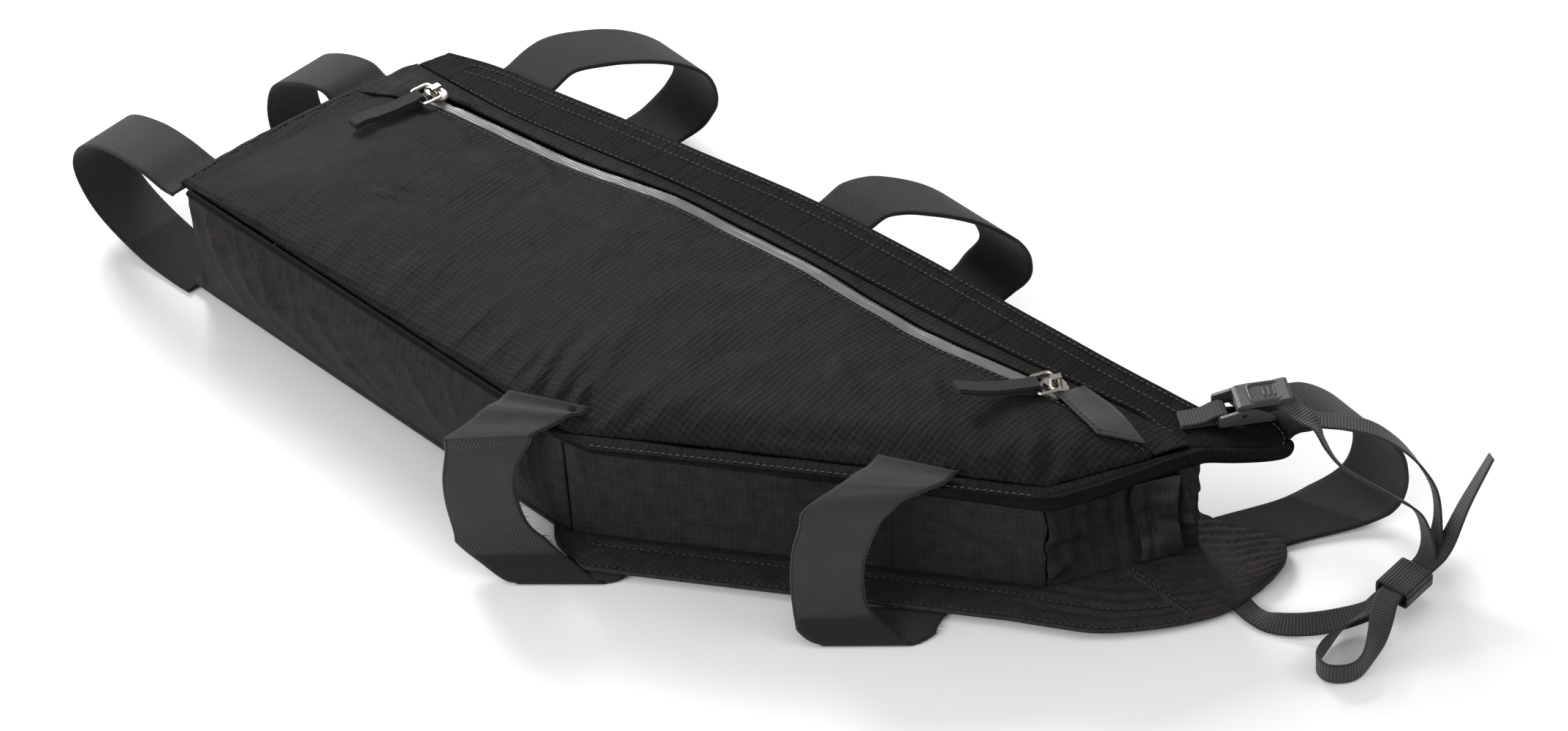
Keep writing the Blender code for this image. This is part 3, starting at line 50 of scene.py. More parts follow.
# Sizes of the part, as in its source, in millimetres of the bag's plan
TOP_LENGTH = 422.0
SEAT_LENGTH = 144.5
SEAT_ANGLE = -101.0
BOTTOM_LENGTH = 241.6
BOTTOM_ANGLE = -3.3
FRONT_LENGTH = 66.8
FRONT_ANGLE = -119.3
CORNER_RADIUS = 14.0
SEAT_BOW = 6.0
BAG_DEPTH = 60.0
CLOTH = 1.5
GAP = 0.3
CROWN = 9.0
CROWN_REACHES = (50.0, 26.0, 26.0, 60.0, 70.0)  # from each edge of the outline and the band seam
FLANGE_LIFT = 2.7
BELLY_MARGIN = 14.0
GUSSET_BULGE = 5.0
WALL_HOLLOW = 3.0
FRONT_HOLLOW = 9.0
BAND_WIDTH = 24.0
BAND_CLOTH = 1.8
DOWN_FLANGE = 8.0
DOWN_FLANGE_THICK = 2.4
FRONT_RIM_THICK = 7.0
SEAT_FLANGE = 7.0
LOWER_FLANGE = 20.0
TONGUE_REACH = 26.0
LOWER_TONGUE = 34.0
PIPING = 3.0
TAPE_WIDTH = 8.0
TAPE_SHOWN = 0.75 * TAPE_WIDTH
ZIP_SLIT = 2.2
PULL_WIDTH = 12.0
PULL_THICK = 1.4
RING_WIRE = 1.3
STRAP_WIDTH = 30.0
STRAP_THICK = 1.8
WEBBING_WIDTH = 10.0
WEBBING_THICK = 1.0
WEBBING_REACH = 100.0
KEEPER_WALL = 1.0
BUCKLE_LENGTH = 25.0
PIN_RADIUS = 1.0
BUCKLE_TURN = 50.0

# Sewing: distance between stitches, their length and thickness, how far the rows of the band and of
# the lower flange lie from their hems, and how deep the seam over the gusset is drawn in
STITCH_PITCH = 3.0
STITCH_LENGTH = 2.2
STITCH_THICK = 0.55
BAND_ROWS = (2.6, 8.6)
LOWER_ROWS = (3.0, 15.5)
SEAM_TUCK = 1.1
FRAY_SEED = 7

# Cloth: millimetres in a whole UV map, ripstop grid, yarn and the length of a strap's hook end
UV_MM = 100.0
RIPSTOP_PITCH = 2.6
YARN = 0.52
HOOK_LENGTH = 46.0

# Along the top-tube edge: place in the length, band seam and band rim in band widths
TOP_EDGE = [
    (0, -0.62, 0), (0.05, -0.64, 0.25), (0.12, -0.64, 0.38), (0.22, -0.48, 0.58), (0.32, -0.28, 0.74),
    (0.45, -0.18, 0.94), (0.6, -0.2, 0.96), (0.75, -0.17, 0.86), (0.88, -0.05, 0.78), (0.97, 0, 0.76),
]

# Zipper line below the top edge: place in the top length, distance in band widths
ZIP_EDGE = [
    (0, 1.2), (0.15, 1.03), (0.28, 0.82), (0.38, 0.56), (0.5, 0.5), (0.62, 0.62), (0.72, 0.66),
    (0.84, 0.46), (1, 0.36),
]

# Each strap is a loop from the upper flange to the lower one. Its edge, its place there, its reach and
# whether it is tucked under the flange, then its stations: out in its reach, lean along the edge in
# strap widths, height from the floor run (0) to its upper seat (1), turn in degrees
STRAPS = {
    "seat_lower": ("seat", 0.93, 78, True, [
        (0.05, 0, 1, 8), (0.14, 0.04, 1, 8), (0.33, 0.12, 1.05, 8), (0.61, 0.18, 1.01, 8),
        (0.88, 0.27, 0.88, 10), (1.02, 0.32, 0.64, 10), (1, 0.31, 0.4, 10), (0.84, 0.25, 0.17, 8),
        (0.49, 0.16, 0.03, 6), (0.18, 0.06, 0, 4), (0.04, 0, 0, 4),
    ]),
    "seat_upper": ("seat", 0.3, 56, True, [
        (0.07, 0, 1, 0), (0.16, 0.02, 1, 2), (0.32, 0.06, 1.05, 6), (0.61, 0.2, 0.99, 8),
        (0.86, 0.32, 0.84, 8), (0.97, 0.36, 0.55, 8), (0.92, 0.35, 0.26, 8), (0.73, 0.25, 0.05, 6),
        (0.38, 0.15, 0, 4), (0.05, 0.08, 0, 2),
    ]),
    "top_rear": ("top", 0.082, 74, True, [
        (-0.13, 0, 1, 0), (0.05, 0, 1, 0), (0.28, 0.03, 1.05, -4), (0.51, 0.37, 1.05, -10),
        (0.74, 0.8, 0.98, -10), (0.92, 1.13, 0.8, -8), (0.99, 1.2, 0.55, -6), (0.98, 1.03, 0.3, -4),
        (0.85, 0.77, 0.09, -2), (0.45, 0.47, 0, 0), (-0.07, 0.33, 0, 0),
    ]),
    "top_front": ("top", 0.498, 55, True, [
        (-0.18, 0, 1, 0), (0.05, 0, 1, 0), (0.26, 0.1, 1.05, -2), (0.49, 0.43, 1.03, -8),
        (0.71, 1, 0.95, -8), (0.88, 1.47, 0.75, -4), (0.97, 1.57, 0.48, 0), (0.9, 1.33, 0.21, 0),
        (0.58, 1.1, 0.05, 0), (0.13, 0.83, 0, 0), (-0.16, 0.77, 0, 0),
    ]),
    "top_tip": ("tip", 1, 42, True, [
        (-0.05, -0.1, 1, -12), (0.08, 0.08, 1, -14), (0.26, 0.2, 1, -16), (0.58, 0.53, 0.99, -16),
        (0.86, 0.93, 0.79, -13), (0.94, 1.13, 0.52, -6), (0.88, 1.05, 0.2, 4), (0.5, 0.72, 0.04, 12),
        (-0.12, 0.15, 0, 15), (-0.38, 0, 0, 15),
    ]),
    "down_rear": ("down", 0, 42, False, [
        (-0.36, -0.28, 1, -8), (-0.14, -0.56, 1, 4), (0.15, -0.92, 0.95, 13), (0.32, -1.07, 0.74, 14),
        (0.38, -1.05, 0.49, 14), (0.42, -0.88, 0.24, 14), (0.5, -0.45, 0.07, 12), (0.62, -0.02, 0, 10),
        (0.52, 0.28, 0, 8), (0.22, 0.42, 0, 4),
    ]),
    "down_front": ("down", 0.72, 50, False, [
        (-0.06, 0.1, 1, -8), (0.18, -0.2, 1, 4), (0.41, -0.66, 0.93, 13), (0.53, -0.88, 0.7, 13),
        (0.6, -0.96, 0.46, 13), (0.68, -0.9, 0.2, 13), (0.77, -0.66, 0.05, 12), (0.8, -0.36, 0, 10),
        (0.62, -0.1, 0, 6), (0.36, 0.05, 0, 2),
    ]),
}

# Adjuster webbing, from under the lower tongue through the keeper to the buckle: X and Y from the
# front corner in webbing reaches, height in bag depths, then turn and tilt of its width in degrees
ADJUSTER_UP = [
    (0.26, -0.12, 0.025, 80, 0), (0.4, -0.16, 0.025, 82, 0), (0.51, -0.15, 0.05, 100, 25),
    (0.64, -0.07, 0.085, 130, 30), (0.75, 0.06, 0.12, 165, 8), (0.79, 0.17, 0.13, 180, 0),
    (0.8, 0.3, 0.13, 180, 0), (0.8, 0.42, 0.135, 180, 0), (0.8, 0.5, 0.24, 165, -8),
    (0.78, 0.55, 0.42, 145, -28), (0.73, 0.59, 0.59, 140, -30), (0.65, 0.6, 0.72, 140, -24),
    (0.56, 0.58, 0.85, 140, -10), (0.46, 0.53, 0.96, 140, 0), (0.36, 0.46, 1.01, 140, 0),
    (0.26, 0.39, 1.035, 140, 0),
]
# The second strand, from the buckle down through the keeper to the loop and the tail
ADJUSTER_DOWN = [
    (0.2, 0.345, 1.11, 138, 0), (0.3, 0.335, 1.09, 134, 0), (0.38, 0.31, 1, 134, -10),
    (0.44, 0.33, 0.86, 136, -28), (0.5, 0.38, 0.74, 138, -30), (0.62, 0.44, 0.62, 140, -30),
    (0.72, 0.49, 0.5, 145, -28), (0.775, 0.485, 0.34, 155, -20), (0.8, 0.455, 0.21, 172, -4),
    (0.8, 0.4, 0.16, 180, 0), (0.8, 0.3, 0.16, 180, 0), (0.79, 0.17, 0.16, 180, 0),
    (0.75, 0.02, 0.11, 150, -40), (0.74, -0.15, 0.088, 120, -85), (0.77, -0.25, 0.088, 40, -88),
    (0.85, -0.27, 0.088, -30, -88), (0.92, -0.18, 0.088, -60, -80), (0.89, -0.02, 0.13, -30, -40),
    (0.81, 0.17, 0.19, 0, 0), (0.81, 0.3, 0.19, 0, 0), (0.82, 0.43, 0.2, -2, 0),
    (0.85, 0.51, 0.31, -16, 12), (0.86, 0.62, 0.56, -30, 26), (0.88, 0.76, 0.84, -40, 36),
]

# Folds of the upper side: where each starts, its direction and length, its height and half width
# where it starts, in millimetres and degrees; a negative height is a crease
PANEL_FOLDS = [
    (176, -144, 96, 34, 1.5, 1.7), (186, -143, 103, 50, 1.9, 2.1), (199, -146, 101, 72, 2.4, 3),
    (210, -146, 104, 92, 2.6, 4.4), (214, -142, 118, 38, -2, 2.2), (193, -146, 103, 44, -1.5, 1.8),
    (205, -144, 96, 50, -1.3, 2), (226, -141, 84, 70, 1.3, 4), (240, -134, 76, 60, 0.9, 4.5),
    (160, -146, 92, 50, 0.9, 2.4), (141, -146, 88, 58, 0.9, 3), (122, -144, 90, 50, 0.8, 2.8),
    (96, -142, 94, 60, 0.7, 4), (62, -140, 96, 66, 0.6, 5), (386, -56, 122, 36, -2.2, 3.2),
    (379, -58, 112, 30, 1.4, 3.6), (392, -52, 110, 32, 1.2, 3.6), (365, -62, 100, 36, 0.8, 4),
    (32, -22, 179, 26, 1.7, 1.7), (27, -27, 152, 18, -1.3, 1.6), (12, -28, -34, 34, 1.4, 2.6),
    (4, -38, -12, 50, -1, 2.4), (18, -44, -4, 90, 0.9, 5), (2, -66, 4, 44, 0.7, 3),
    (40, -64, 8, 120, 1.6, 9), (52, -98, 18, 54, 1.6, 2.6), (58, -92, 14, 46, -1.2, 2.4),
    (30, -40, -16, 60, 1.4, 3.4), (84, -34, -24, 46, 1.2, 3), (110, -60, 12, 80, 1.3, 5),
    (280, -60, -30, 50, 1.3, 4), (318, -44, -40, 46, 1.2, 3.4), (150, -52, -6, 140, 0.9, 11),
    (250, -84, 24, 90, 0.9, 8),
]
# The same for the walls, by running length and height: the bottom gusset from corner B, the wall
# under the down tube from corner C and the front end wall from corner D
GUSSET_FOLDS = [
    (4, 50, -62, 40, 1.6, 1.8), (13, 56, -60, 52, 2.2, 2), (20, 56, -57, 48, -1.4, 1.5),
    (26, 56, -54, 56, 2, 1.7), (33, 56, -62, 46, 2.1, 1.8), (41, 56, -50, 60, 1.8, 1.7),
    (48, 56, -64, 46, 2.2, 1.9), (54, 54, -60, 40, -1.4, 1.6), (60, 56, -66, 46, 1.8, 1.8),
    (68, 56, -72, 44, 2, 1.9), (77, 56, -80, 38, 1.5, 1.8), (86, 56, -84, 30, 1.1, 1.8),
    (58, 34, -34, 60, 1.7, 3), (84, 44, -44, 56, 1.6, 3.2), (104, 40, -40, 58, 1.4, 3.4),
    (112, 26, -28, 54, -1.2, 2.6), (128, 50, -52, 44, 1.1, 2.6), (150, 44, -48, 44, 1.3, 3),
    (172, 50, -60, 44, 1.1, 2.6), (204, 54, -72, 48, 1.6, 1.8), (212, 54, -76, 48, 1.9, 1.8),
    (220, 54, -82, 46, 1.7, 1.6), (228, 54, -86, 46, 1.9, 1.8),
]
DOWN_WALL_FOLDS = [
    (150, 40, -26, 58, 1.4, 3.4), (156, 30, -24, 48, -1.2, 3), (120, 30, -16, 60, 0.8, 4),
    (70, 44, -38, 50, 0.7, 4), (5, 52, -84, 44, 1.4, 1.8), (12, 50, -88, 40, 0.9, 2.2),
    (20, 48, -80, 40, 0.7, 2.6),
]
FRONT_WALL_FOLDS = [
    (1, 33, -25, 46, 3.4, 3.8), (3, 23, -20, 36, -2.4, 3), (0.5, 12, 14, 18, 3.2, 2.6),
    (3, 46, -12, 38, -1.8, 3.2), (2, 52, -6, 40, 1.4, 2.6), (22, 50, -68, 34, 1.2, 2.4),
    (50, 44, -82, 38, 2, 2), (55, 50, -88, 44, -1.4, 1.6), (59, 40, -76, 36, 2.6, 1.9),
    (63.5, 48, -92, 42, 2.2, 1.8), (47, 26, -60, 24, -1.6, 2),
]

# Rim of the lower tongue from the down-tube flange round to the top edge, X and Y from the front
# corner in tongue reaches, and the row where it turns back
LOWER_TONGUE_RIM = [
    (-0.47, -2.15), (-0.09, -1.94), (0.29, -1.59), (0.65, -1.15), (0.91, -0.68), (1, -0.1), (1, 0.1),
    (0.93, 0.48), (0.7, 0.72), (0.4, 0.66), (-0.2, 0.5),
]
TONGUE_TURN = 6
# Lapped seam across the tongue, from the end wall to the rim
TONGUE_SEAM = np.array([[405.0, -30.4], [447.0, -35.9]])

# Corners of the coated patch over the zipper's front end
GARAGE_REAR_LOW = np.array([358.6, -16.0])
GARAGE_REAR_HIGH = np.array([362.4, -1.6])
GARAGE_FRONT_HIGH = np.array([405.6, -15.2])
GARAGE_FRONT_LOW = np.array([388.0, -25.8])

# Each pull: slider place in top lengths, its direction, its length and lift in pull widths
PULLS = {"rear": (0.036, 259.0, 2.9, 0.08), "front": (0.842, 241.0, 2.8, 0.55)}


def plan(length, degrees):
    """A step in the plan of the bag."""
    turn = math.radians(degrees)
    return np.array([length * math.cos(turn), length * math.sin(turn)])


CORNER_A = np.array([0.0, 0.0])
CORNER_B = CORNER_A + plan(SEAT_LENGTH, SEAT_ANGLE)
CORNER_C = CORNER_B + plan(BOTTOM_LENGTH, BOTTOM_ANGLE)
CORNER_E = np.array([TOP_LENGTH, 0.0])
CORNER_D = CORNER_E + plan(FRONT_LENGTH, FRONT_ANGLE)
OUTLINE = [(CORNER_B, CORNER_C), (CORNER_C, CORNER_D), (CORNER_D, CORNER_E), (CORNER_A, CORNER_B)]
TONGUE_TIP = CORNER_E + np.array([TONGUE_REACH, 0.8 * TONGUE_REACH])


def bell(x, width, centre=0.0):
    """A smooth bump of height one round its centre."""
    return np.exp(-((x - centre) / width) ** 2)


def hump(share):
    """Half a wave: one in the middle of 0 to 1, zero at both ends."""
    return np.sin(np.pi * share)


def ease(t):
    return np.sin(np.pi / 2 * np.clip(t, 0, 1))


def run_length(points):
    """Running length at each point of a path."""
    return np.concatenate([[0], np.cumsum(np.linalg.norm(np.diff(points, axis=0), axis=1))])


def unit_rows(rows):
    return rows / np.linalg.norm(rows, axis=1)[:, None]


def tangents(path):
    return unit_rows(np.gradient(path, axis=0))


def at_lengths(at, length, table):
    """Rows of a table at running lengths."""
    return np.stack([np.interp(at, length, column) for column in table.T], 1)


def smooth_table(rows, column, at):
    """Values of one table column at given places, on a smooth curve through its rows."""
    x = np.array([row[0] for row in rows])
    y = np.array([row[column] for row in rows])
    slope = np.gradient(y, x)
    at = np.clip(at, x[0], x[-1])
    i = np.clip(np.searchsorted(x, at) - 1, 0, len(x) - 2)
    h = x[i + 1] - x[i]
    t = (at - x[i]) / h
    start = (2 * t**3 - 3 * t**2 + 1) * y[i] + (t**3 - 2 * t**2 + t) * h * slope[i]
    end = (3 * t**2 - 2 * t**3) * y[i + 1] + (t**3 - t**2) * h * slope[i + 1]
    return start + end


def smooth_path(points, count, bend=0.0):
    """Points on a smooth curve through the given ones, with any columns.

    They lie at even steps, or closer where the curve turns: a turn of one radian counts as
    bend millimetres more.
    """
    points = np.array(points, float)
    padded = np.vstack([2 * points[0] - points[1], points, 2 * points[-1] - points[-2]])
    dense = []
    for i in range(1, len(padded) - 2):
        p0, p1, p2, p3 = padded[i - 1:i + 3]
        for t in np.linspace(0, 1, 16, endpoint=False):
            curve = 2 * p1 + (p2 - p0) * t + (2 * p0 - 5 * p1 + 4 * p2 - p3) * t**2
            dense.append(0.5 * (curve + (3 * p1 - p0 - 3 * p2 + p3) * t**3))
    dense.append(points[-1])
    dense = np.array(dense)
    moves = np.diff(dense[:, :3], axis=0)
    steps = np.linalg.norm(moves, axis=1)
    ways = moves / steps[:, None]
    turns = np.arccos(np.clip(np.sum(ways[1:] * ways[:-1], 1), -1, 1))
    steps[1:] += bend * turns
    length = np.concatenate([[0], np.cumsum(steps)])
    return at_lengths(np.linspace(0, length[-1], count), length, dense)


def chain_of(path):
    """Plan points with their outward normals and running length; the bag lies on the left."""
    way = tangents(path)
    return {"points": path, "normals": np.stack([way[:, 1], -way[:, 0]], 1), "length": run_length(path)}


def rounded_chain(corners, radius, step=3.0):
    """A chain through the given corners, which are rounded."""
    runs = [corners[0]]
    for before, corner, after in zip(corners, corners[1:], corners[2:]):
        came = (corner - before) / np.linalg.norm(corner - before)
        goes = (after - corner) / np.linalg.norm(after - corner)
        cut = radius * math.tan(math.acos(np.clip(came @ goes, -1, 1)) / 2)
        start = corner - came * cut
        end = corner + goes * cut
        for t in np.linspace(0, 1, 7):
            runs.append((1 - t) ** 2 * start + 2 * t * (1 - t) * corner + t**2 * end)
    runs.append(corners[-1])
    runs = np.array(runs)
    length = run_length(runs)
    at = np.linspace(0, length[-1], int(length[-1] / step) + 1)
    chain = chain_of(at_lengths(at, length, runs))
    chain["length"] = at
    return chain


def on_chain(chain, lengths, out=0.0):
    """Plan points at running lengths of a chain, moved outward."""
    point = at_lengths(lengths, chain["length"], chain["points"])
    normal = unit_rows(at_lengths(lengths, chain["length"], chain["normals"]))
    return point + normal * np.reshape(out, (-1, 1)), normal


LOW_SIDE = rounded_chain([CORNER_B, CORNER_C, CORNER_D, CORNER_E], CORNER_RADIUS)
LOW_TOTAL = LOW_SIDE["length"][-1]
LENGTH_C = BOTTOM_LENGTH
LENGTH_D = LOW_TOTAL - FRONT_LENGTH
DOWN_LENGTH = np.linalg.norm(CORNER_D - CORNER_C)
DOWN_TANGENT = (CORNER_D - CORNER_C) / DOWN_LENGTH
SEAT_TANGENT = (CORNER_B - CORNER_A) / SEAT_LENGTH
PANEL_INSET = 2.0 + GAP
REAR_RIM = SEAT_FLANGE - 0.3
ZIP_FRONT = TOP_LENGTH * 0.835
SLIT_START = TOP_LENGTH * 0.862
PANEL_FRONT = TOP_LENGTH * 0.9705
LOW_FRONT = LOW_TOTAL - 0.32 * FRONT_LENGTH
ROUND_C = 1.3 * CORNER_RADIUS
FLANGE_START = LENGTH_C - ROUND_C / 3
WALL_LOW = FLANGE_LIFT + CLOTH + GAP
FLOOR_RUN = GAP + STRAP_THICK / 2


def seat_line(share, out=0.0):
    """The bowed seat-tube edge from corner A to corner B."""
    share = np.atleast_1d(share)
    normal = np.array([SEAT_TANGENT[1], -SEAT_TANGENT[0]])
    bow = SEAT_BOW * 4 * share * (1 - share) + out
    return CORNER_A + share[:, None] * (CORNER_B - CORNER_A) + bow[:, None] * normal


def seat_share(y):
    return np.clip(-y / (SEAT_LENGTH * math.sin(math.radians(-SEAT_ANGLE))), 0, 1)


def seam_y(x):
    """Band seam, which the top-tube wall follows."""
    return BAND_WIDTH * smooth_table(TOP_EDGE, 1, x / TOP_LENGTH)


def rim_y(x):
    """Outer edge of the band."""
    return BAND_WIDTH * smooth_table(TOP_EDGE, 2, x / TOP_LENGTH)


def zip_y(x):
    """Middle of the zipper slit."""
    return -BAND_WIDTH * smooth_table(ZIP_EDGE, 1, x / TOP_LENGTH)


def spot_at(x, line):
    """Plan point on one of the lines above."""
    return np.array([x, float(line(np.array([x]))[0])])


def line_distance(xy, start, end):
    """Signed distance to the left of a straight line, which is inward for an edge of the outline."""
    along = (end - start) / np.linalg.norm(end - start)
    return (xy - start) @ np.array([-along[1], along[0]])


def edge_distances(xy):
    """Distances inward from each edge of the outline and from the band seam."""
    return [line_distance(xy, *edge) for edge in OUTLINE] + [seam_y(xy[:, 0]) - xy[:, 1]]


def noise2(x, y, scale, seed):
    """Smooth value noise from -1 to 1, with lumps of about scale millimetres."""
    table = np.random.RandomState(seed).uniform(-1, 1, (64, 64))
    u = np.asarray(x) / scale
    v = np.asarray(y) / scale
    i = np.floor(u).astype(int)
    j = np.floor(v).astype(int)
    fu = u - i
    fv = v - j
    fu = fu * fu * (3 - 2 * fu)
    fv = fv * fv * (3 - 2 * fv)
    i0, i1, j0, j1 = i % 64, (i + 1) % 64, j % 64, (j + 1) % 64
    low = table[i0, j0] * (1 - fu) + table[i1, j0] * fu
    high = table[i0, j1] * (1 - fu) + table[i1, j1] * fu
    return low * (1 - fv) + high * fv


def grid_noise(grid, scale, seed):
    return noise2(grid[:, :, 0], grid[:, :, 1], scale, seed)


def fold_height(xy, rows):
    """Sum of folds: each is strongest near its start, and spreads and fades along its length."""
    height = np.zeros(len(xy))
    for x, y, direction, length, rise, half_width in rows:
        way = plan(1.0, direction)
        offset = xy - np.array([x, y])
        run = offset @ way / length
        side = offset @ np.array([-way[1], way[0]]) / (half_width * (0.8 + 0.9 * np.clip(run, 0, 1)))
        strength = np.clip(run / 0.1 + 1, 0, 1) * np.clip(1 - run, 0, 1) ** 1.3
        height += rise * strength * np.exp(-side**2)
    return height


def lower_surface(xy):
    """Underside of the lower panel: flat on the floor in the middle, lifted at the flanges."""
    rise = 1 - np.clip(np.minimum.reduce(edge_distances(xy)) / BELLY_MARGIN, 0, 1)
    return FLANGE_LIFT * rise**2 * (3 - 2 * rise)


def upper_surface(xy):
    """Height of the upper side over plan points: crown, rolled edges, folds and slack."""
    distances = edge_distances(xy)
    inside = 1.0
    for distance, reach in zip(distances, CROWN_REACHES):
        inside = inside * ease(distance / reach)
    distances[3] = distances[3] + SEAT_FLANGE
    near_edge = np.clip(np.minimum.reduce(distances) / 9.0, 0, 1)
    height = BAG_DEPTH + CROWN * inside + near_edge * fold_height(xy, PANEL_FOLDS)
    x, y = xy[:, 0], xy[:, 1]
    slack = 1.25 * noise2(x + 0.3 * y, y, 46.0, 3) + 0.50 * noise2(x, y - 0.4 * x, 15.0, 5)
    return height + near_edge * slack


def panel_top(above=0.0):
    """Height function a little above the upper side."""
    return lambda xy: upper_surface(xy) + above


def lower_top(above=0.0):
    """Height function a little above the lower panel."""
    return lambda xy: lower_surface(xy) + CLOTH + above


def level(height):
    return lambda xy: np.full(len(xy), height)


def bowed(grid, out):
    """Bring the rear ends of a grid's lines to the bowed seat edge, fading out forward."""
    rear = grid[0].copy()
    shift = seat_line(seat_share(rear[:, 1]), out) - rear
    fade = np.linspace(1, 0, len(grid))[:, None, None] ** 4
    return grid + fade * shift[None]


def between(low_curve, high_curve, shares):
    """Plan grid from one curve to another at given shares across."""
    shares = np.array(shares)[None, :, None]
    return low_curve[:, None, :] * (1 - shares) + high_curve[:, None, :] * shares


def raised(grid, heights):
    """A plan grid with its heights."""
    heights = np.broadcast_to(heights, grid.shape[:2])
    return np.concatenate([grid, heights[:, :, None]], 2)


def over_grid(function, grid):
    """Values of a function of plan points over a grid."""
    return function(grid.reshape(-1, 2)).reshape(grid.shape[:2])


def lifted(grid, surface, below=0.0):
    """Put a plan grid on a height function."""
    return raised(grid, over_grid(surface, grid) - below)


class Graph:
    """Short calls for the nodes of one material."""

    def __init__(self, name):
        self.material = bpy.data.materials.new(name)
        self.material.use_nodes = True
        self.tree = self.material.node_tree
        self.shader = self.tree.nodes["Principled BSDF"]

    def put(self, socket, value):
        if isinstance(value, bpy.types.NodeSocket):
            self.tree.links.new(value, socket)
        else:
            socket.default_value = value

    def node(self, kind, *values, **settings):
        made = self.tree.nodes.new("ShaderNode" + kind)
        for key, value in settings.items():
            setattr(made, key, value)
        for socket, value in zip(made.inputs, values):
            self.put(socket, value)
        return made

    def math(self, operation, *values):
        return self.node("Math", *values, operation=operation).outputs[0]

    def total(self, *parts):
        """Sum of parts, each a value or a pair of a value and its weight."""
        result = None
        for part in parts:
            term = self.math("MULTIPLY", *part) if isinstance(part, tuple) else part
            result = term if result is None else self.math("ADD", result, term)
        return result

    def wave(self, value, period):
        return self.math("SINE", self.math("MULTIPLY", value, 2 * math.pi / period))

    def step(self, value, start, end, low=0.0, high=1.0):
        made = self.node("MapRange", value, start, end, low, high, interpolation_type="SMOOTHSTEP")
        return made.outputs[0]

    def threads(self, value, pitch, start, end):
        """Ridges one pitch apart."""
        return self.step(self.math("PINGPONG", value, pitch / 2), start, end, 1.0, 0.0)

    def noise(self, place, scale, detail=2.0, roughness=0.5):
        made = self.node("TexNoise")
        self.put(made.inputs["Vector"], place)
        made.inputs["Scale"].default_value = scale
        made.inputs["Detail"].default_value = detail
        made.inputs["Roughness"].default_value = roughness
        return made.outputs[0]

    def scaled(self, vector, x, y, z):
        return self.node("VectorMath", vector, (x, y, z), operation="MULTIPLY").outputs[0]

    def cloth_place(self):
        """Millimetres along and across the cloth, from the UV map."""
        return self.scaled(self.node("UVMap", uv_map="cloth").outputs[0], UV_MM, UV_MM, UV_MM)

    def solid_place(self):
        """Millimetres in the object's own space."""
        return self.scaled(self.node("TexCoord").outputs["Object"], 1 / MM, 1 / MM, 1 / MM)

    def split(self, vector):
        """X and Y of a vector."""
        return list(self.node("SeparateXYZ", vector).outputs)[:2]

    def blend_colour(self, share, low, high):
        made = self.node("Mix", data_type="RGBA")
        self.put(made.inputs["Factor"], share)
        made.inputs[6].default_value = (*low, 1.0)
        made.inputs[7].default_value = (*high, 1.0)
        return made.outputs[2]

    def bump(self, *parts):
        """Bump by a sum of heights in millimetres."""
        made = self.node("Bump")
        made.inputs["Strength"].default_value = 1.0
        made.inputs["Distance"].default_value = MM
        self.put(made.inputs["Height"], self.total(*parts))
        self.put(self.shader.inputs["Normal"], made.outputs[0])

    def finish(self, tone, dark, light, roughness, **values):
        """Set the shader's colour, roughness and other values."""
        values.update(Base_Color=self.blend_colour(tone, dark, light), Roughness=roughness)
        for key, value in values.items():
            self.put(self.shader.inputs[key.replace("_", " ")], value)
        return self.material


def ripstop_cloth(name, dark, light, roughness, grid_tone, thread):
    """Woven nylon with a raised square grid of doubled threads and fine creases."""
    g = Graph(name)
    place = g.cloth_place()
    drift = g.scaled(g.noise(place, 0.035, 3.0), 1.4, 1.4, 1.4)
    x, y = g.split(g.node("VectorMath", place, drift, operation="ADD").outputs[0])
    grid = g.math("MAXIMUM", *[g.threads(way, RIPSTOP_PITCH, 0.10, 0.48) for way in (x, y)])
    weave = g.math("MULTIPLY", g.wave(x, YARN), g.wave(y, YARN))
    crease = g.noise(place, 0.16, 5.0, 0.6)
    streak = g.noise(g.scaled(place, 1.0, 0.16, 1.0), 0.20, 3.0, 0.55)
    g.bump((grid, thread), (weave, 0.035), (crease, 0.55), (streak, 0.65))
    tone = g.total((grid, grid_tone), (crease, 0.9 - grid_tone))
    rough = g.total((crease, 0.16), roughness - 0.08)
    return g.finish(tone, dark, light, rough, Specular_IOR_Level=0.09, IOR=1.30)


def twill_strap(name, dark, light, roughness, pitch, width, hook_length=0.0):
    """Soft strap with a fine diagonal twill, pale lint, dark edges and a dark hook end."""
    g = Graph(name)
    place = g.cloth_place()
    x, y = g.split(place)
    rib = g.threads(g.total((x, 0.9), y), pitch, 0.05, pitch * 0.42)
    yarn = g.wave(g.math("SUBTRACT", x, y), 0.62)
    lint = g.noise(place, 1.9, 3.0, 0.7)
    broad = g.noise(place, 0.07, 3.0)
    edge = g.step(g.math("ABSOLUTE", y), width / 2 - 0.9, width / 2 - 0.3)
    hook = g.step(x, -hook_length, -hook_length + 4.0) if hook_length else 0.0
    hooks = g.math("MULTIPLY", g.noise(place, 3.4, 2.0, 0.8), hook)
    darker = g.math("MAXIMUM", g.math("MULTIPLY", edge, 0.75), g.math("MULTIPLY", hook, 0.85))
    tone = g.total((rib, 0.35), (lint, 0.55), (broad, 0.30))
    tone = g.math("MULTIPLY", g.math("SUBTRACT", tone, 0.18), g.math("SUBTRACT", 1.0, darker))
    g.bump((rib, 0.10), (yarn, 0.03), (lint, 0.12), (hooks, 0.5))
    rough = g.total((lint, 0.1), roughness - 0.05)
    return g.finish(tone, dark, light, rough, Sheen_Weight=0.12, Sheen_Roughness=0.6,
                    Specular_IOR_Level=0.12, IOR=1.35)


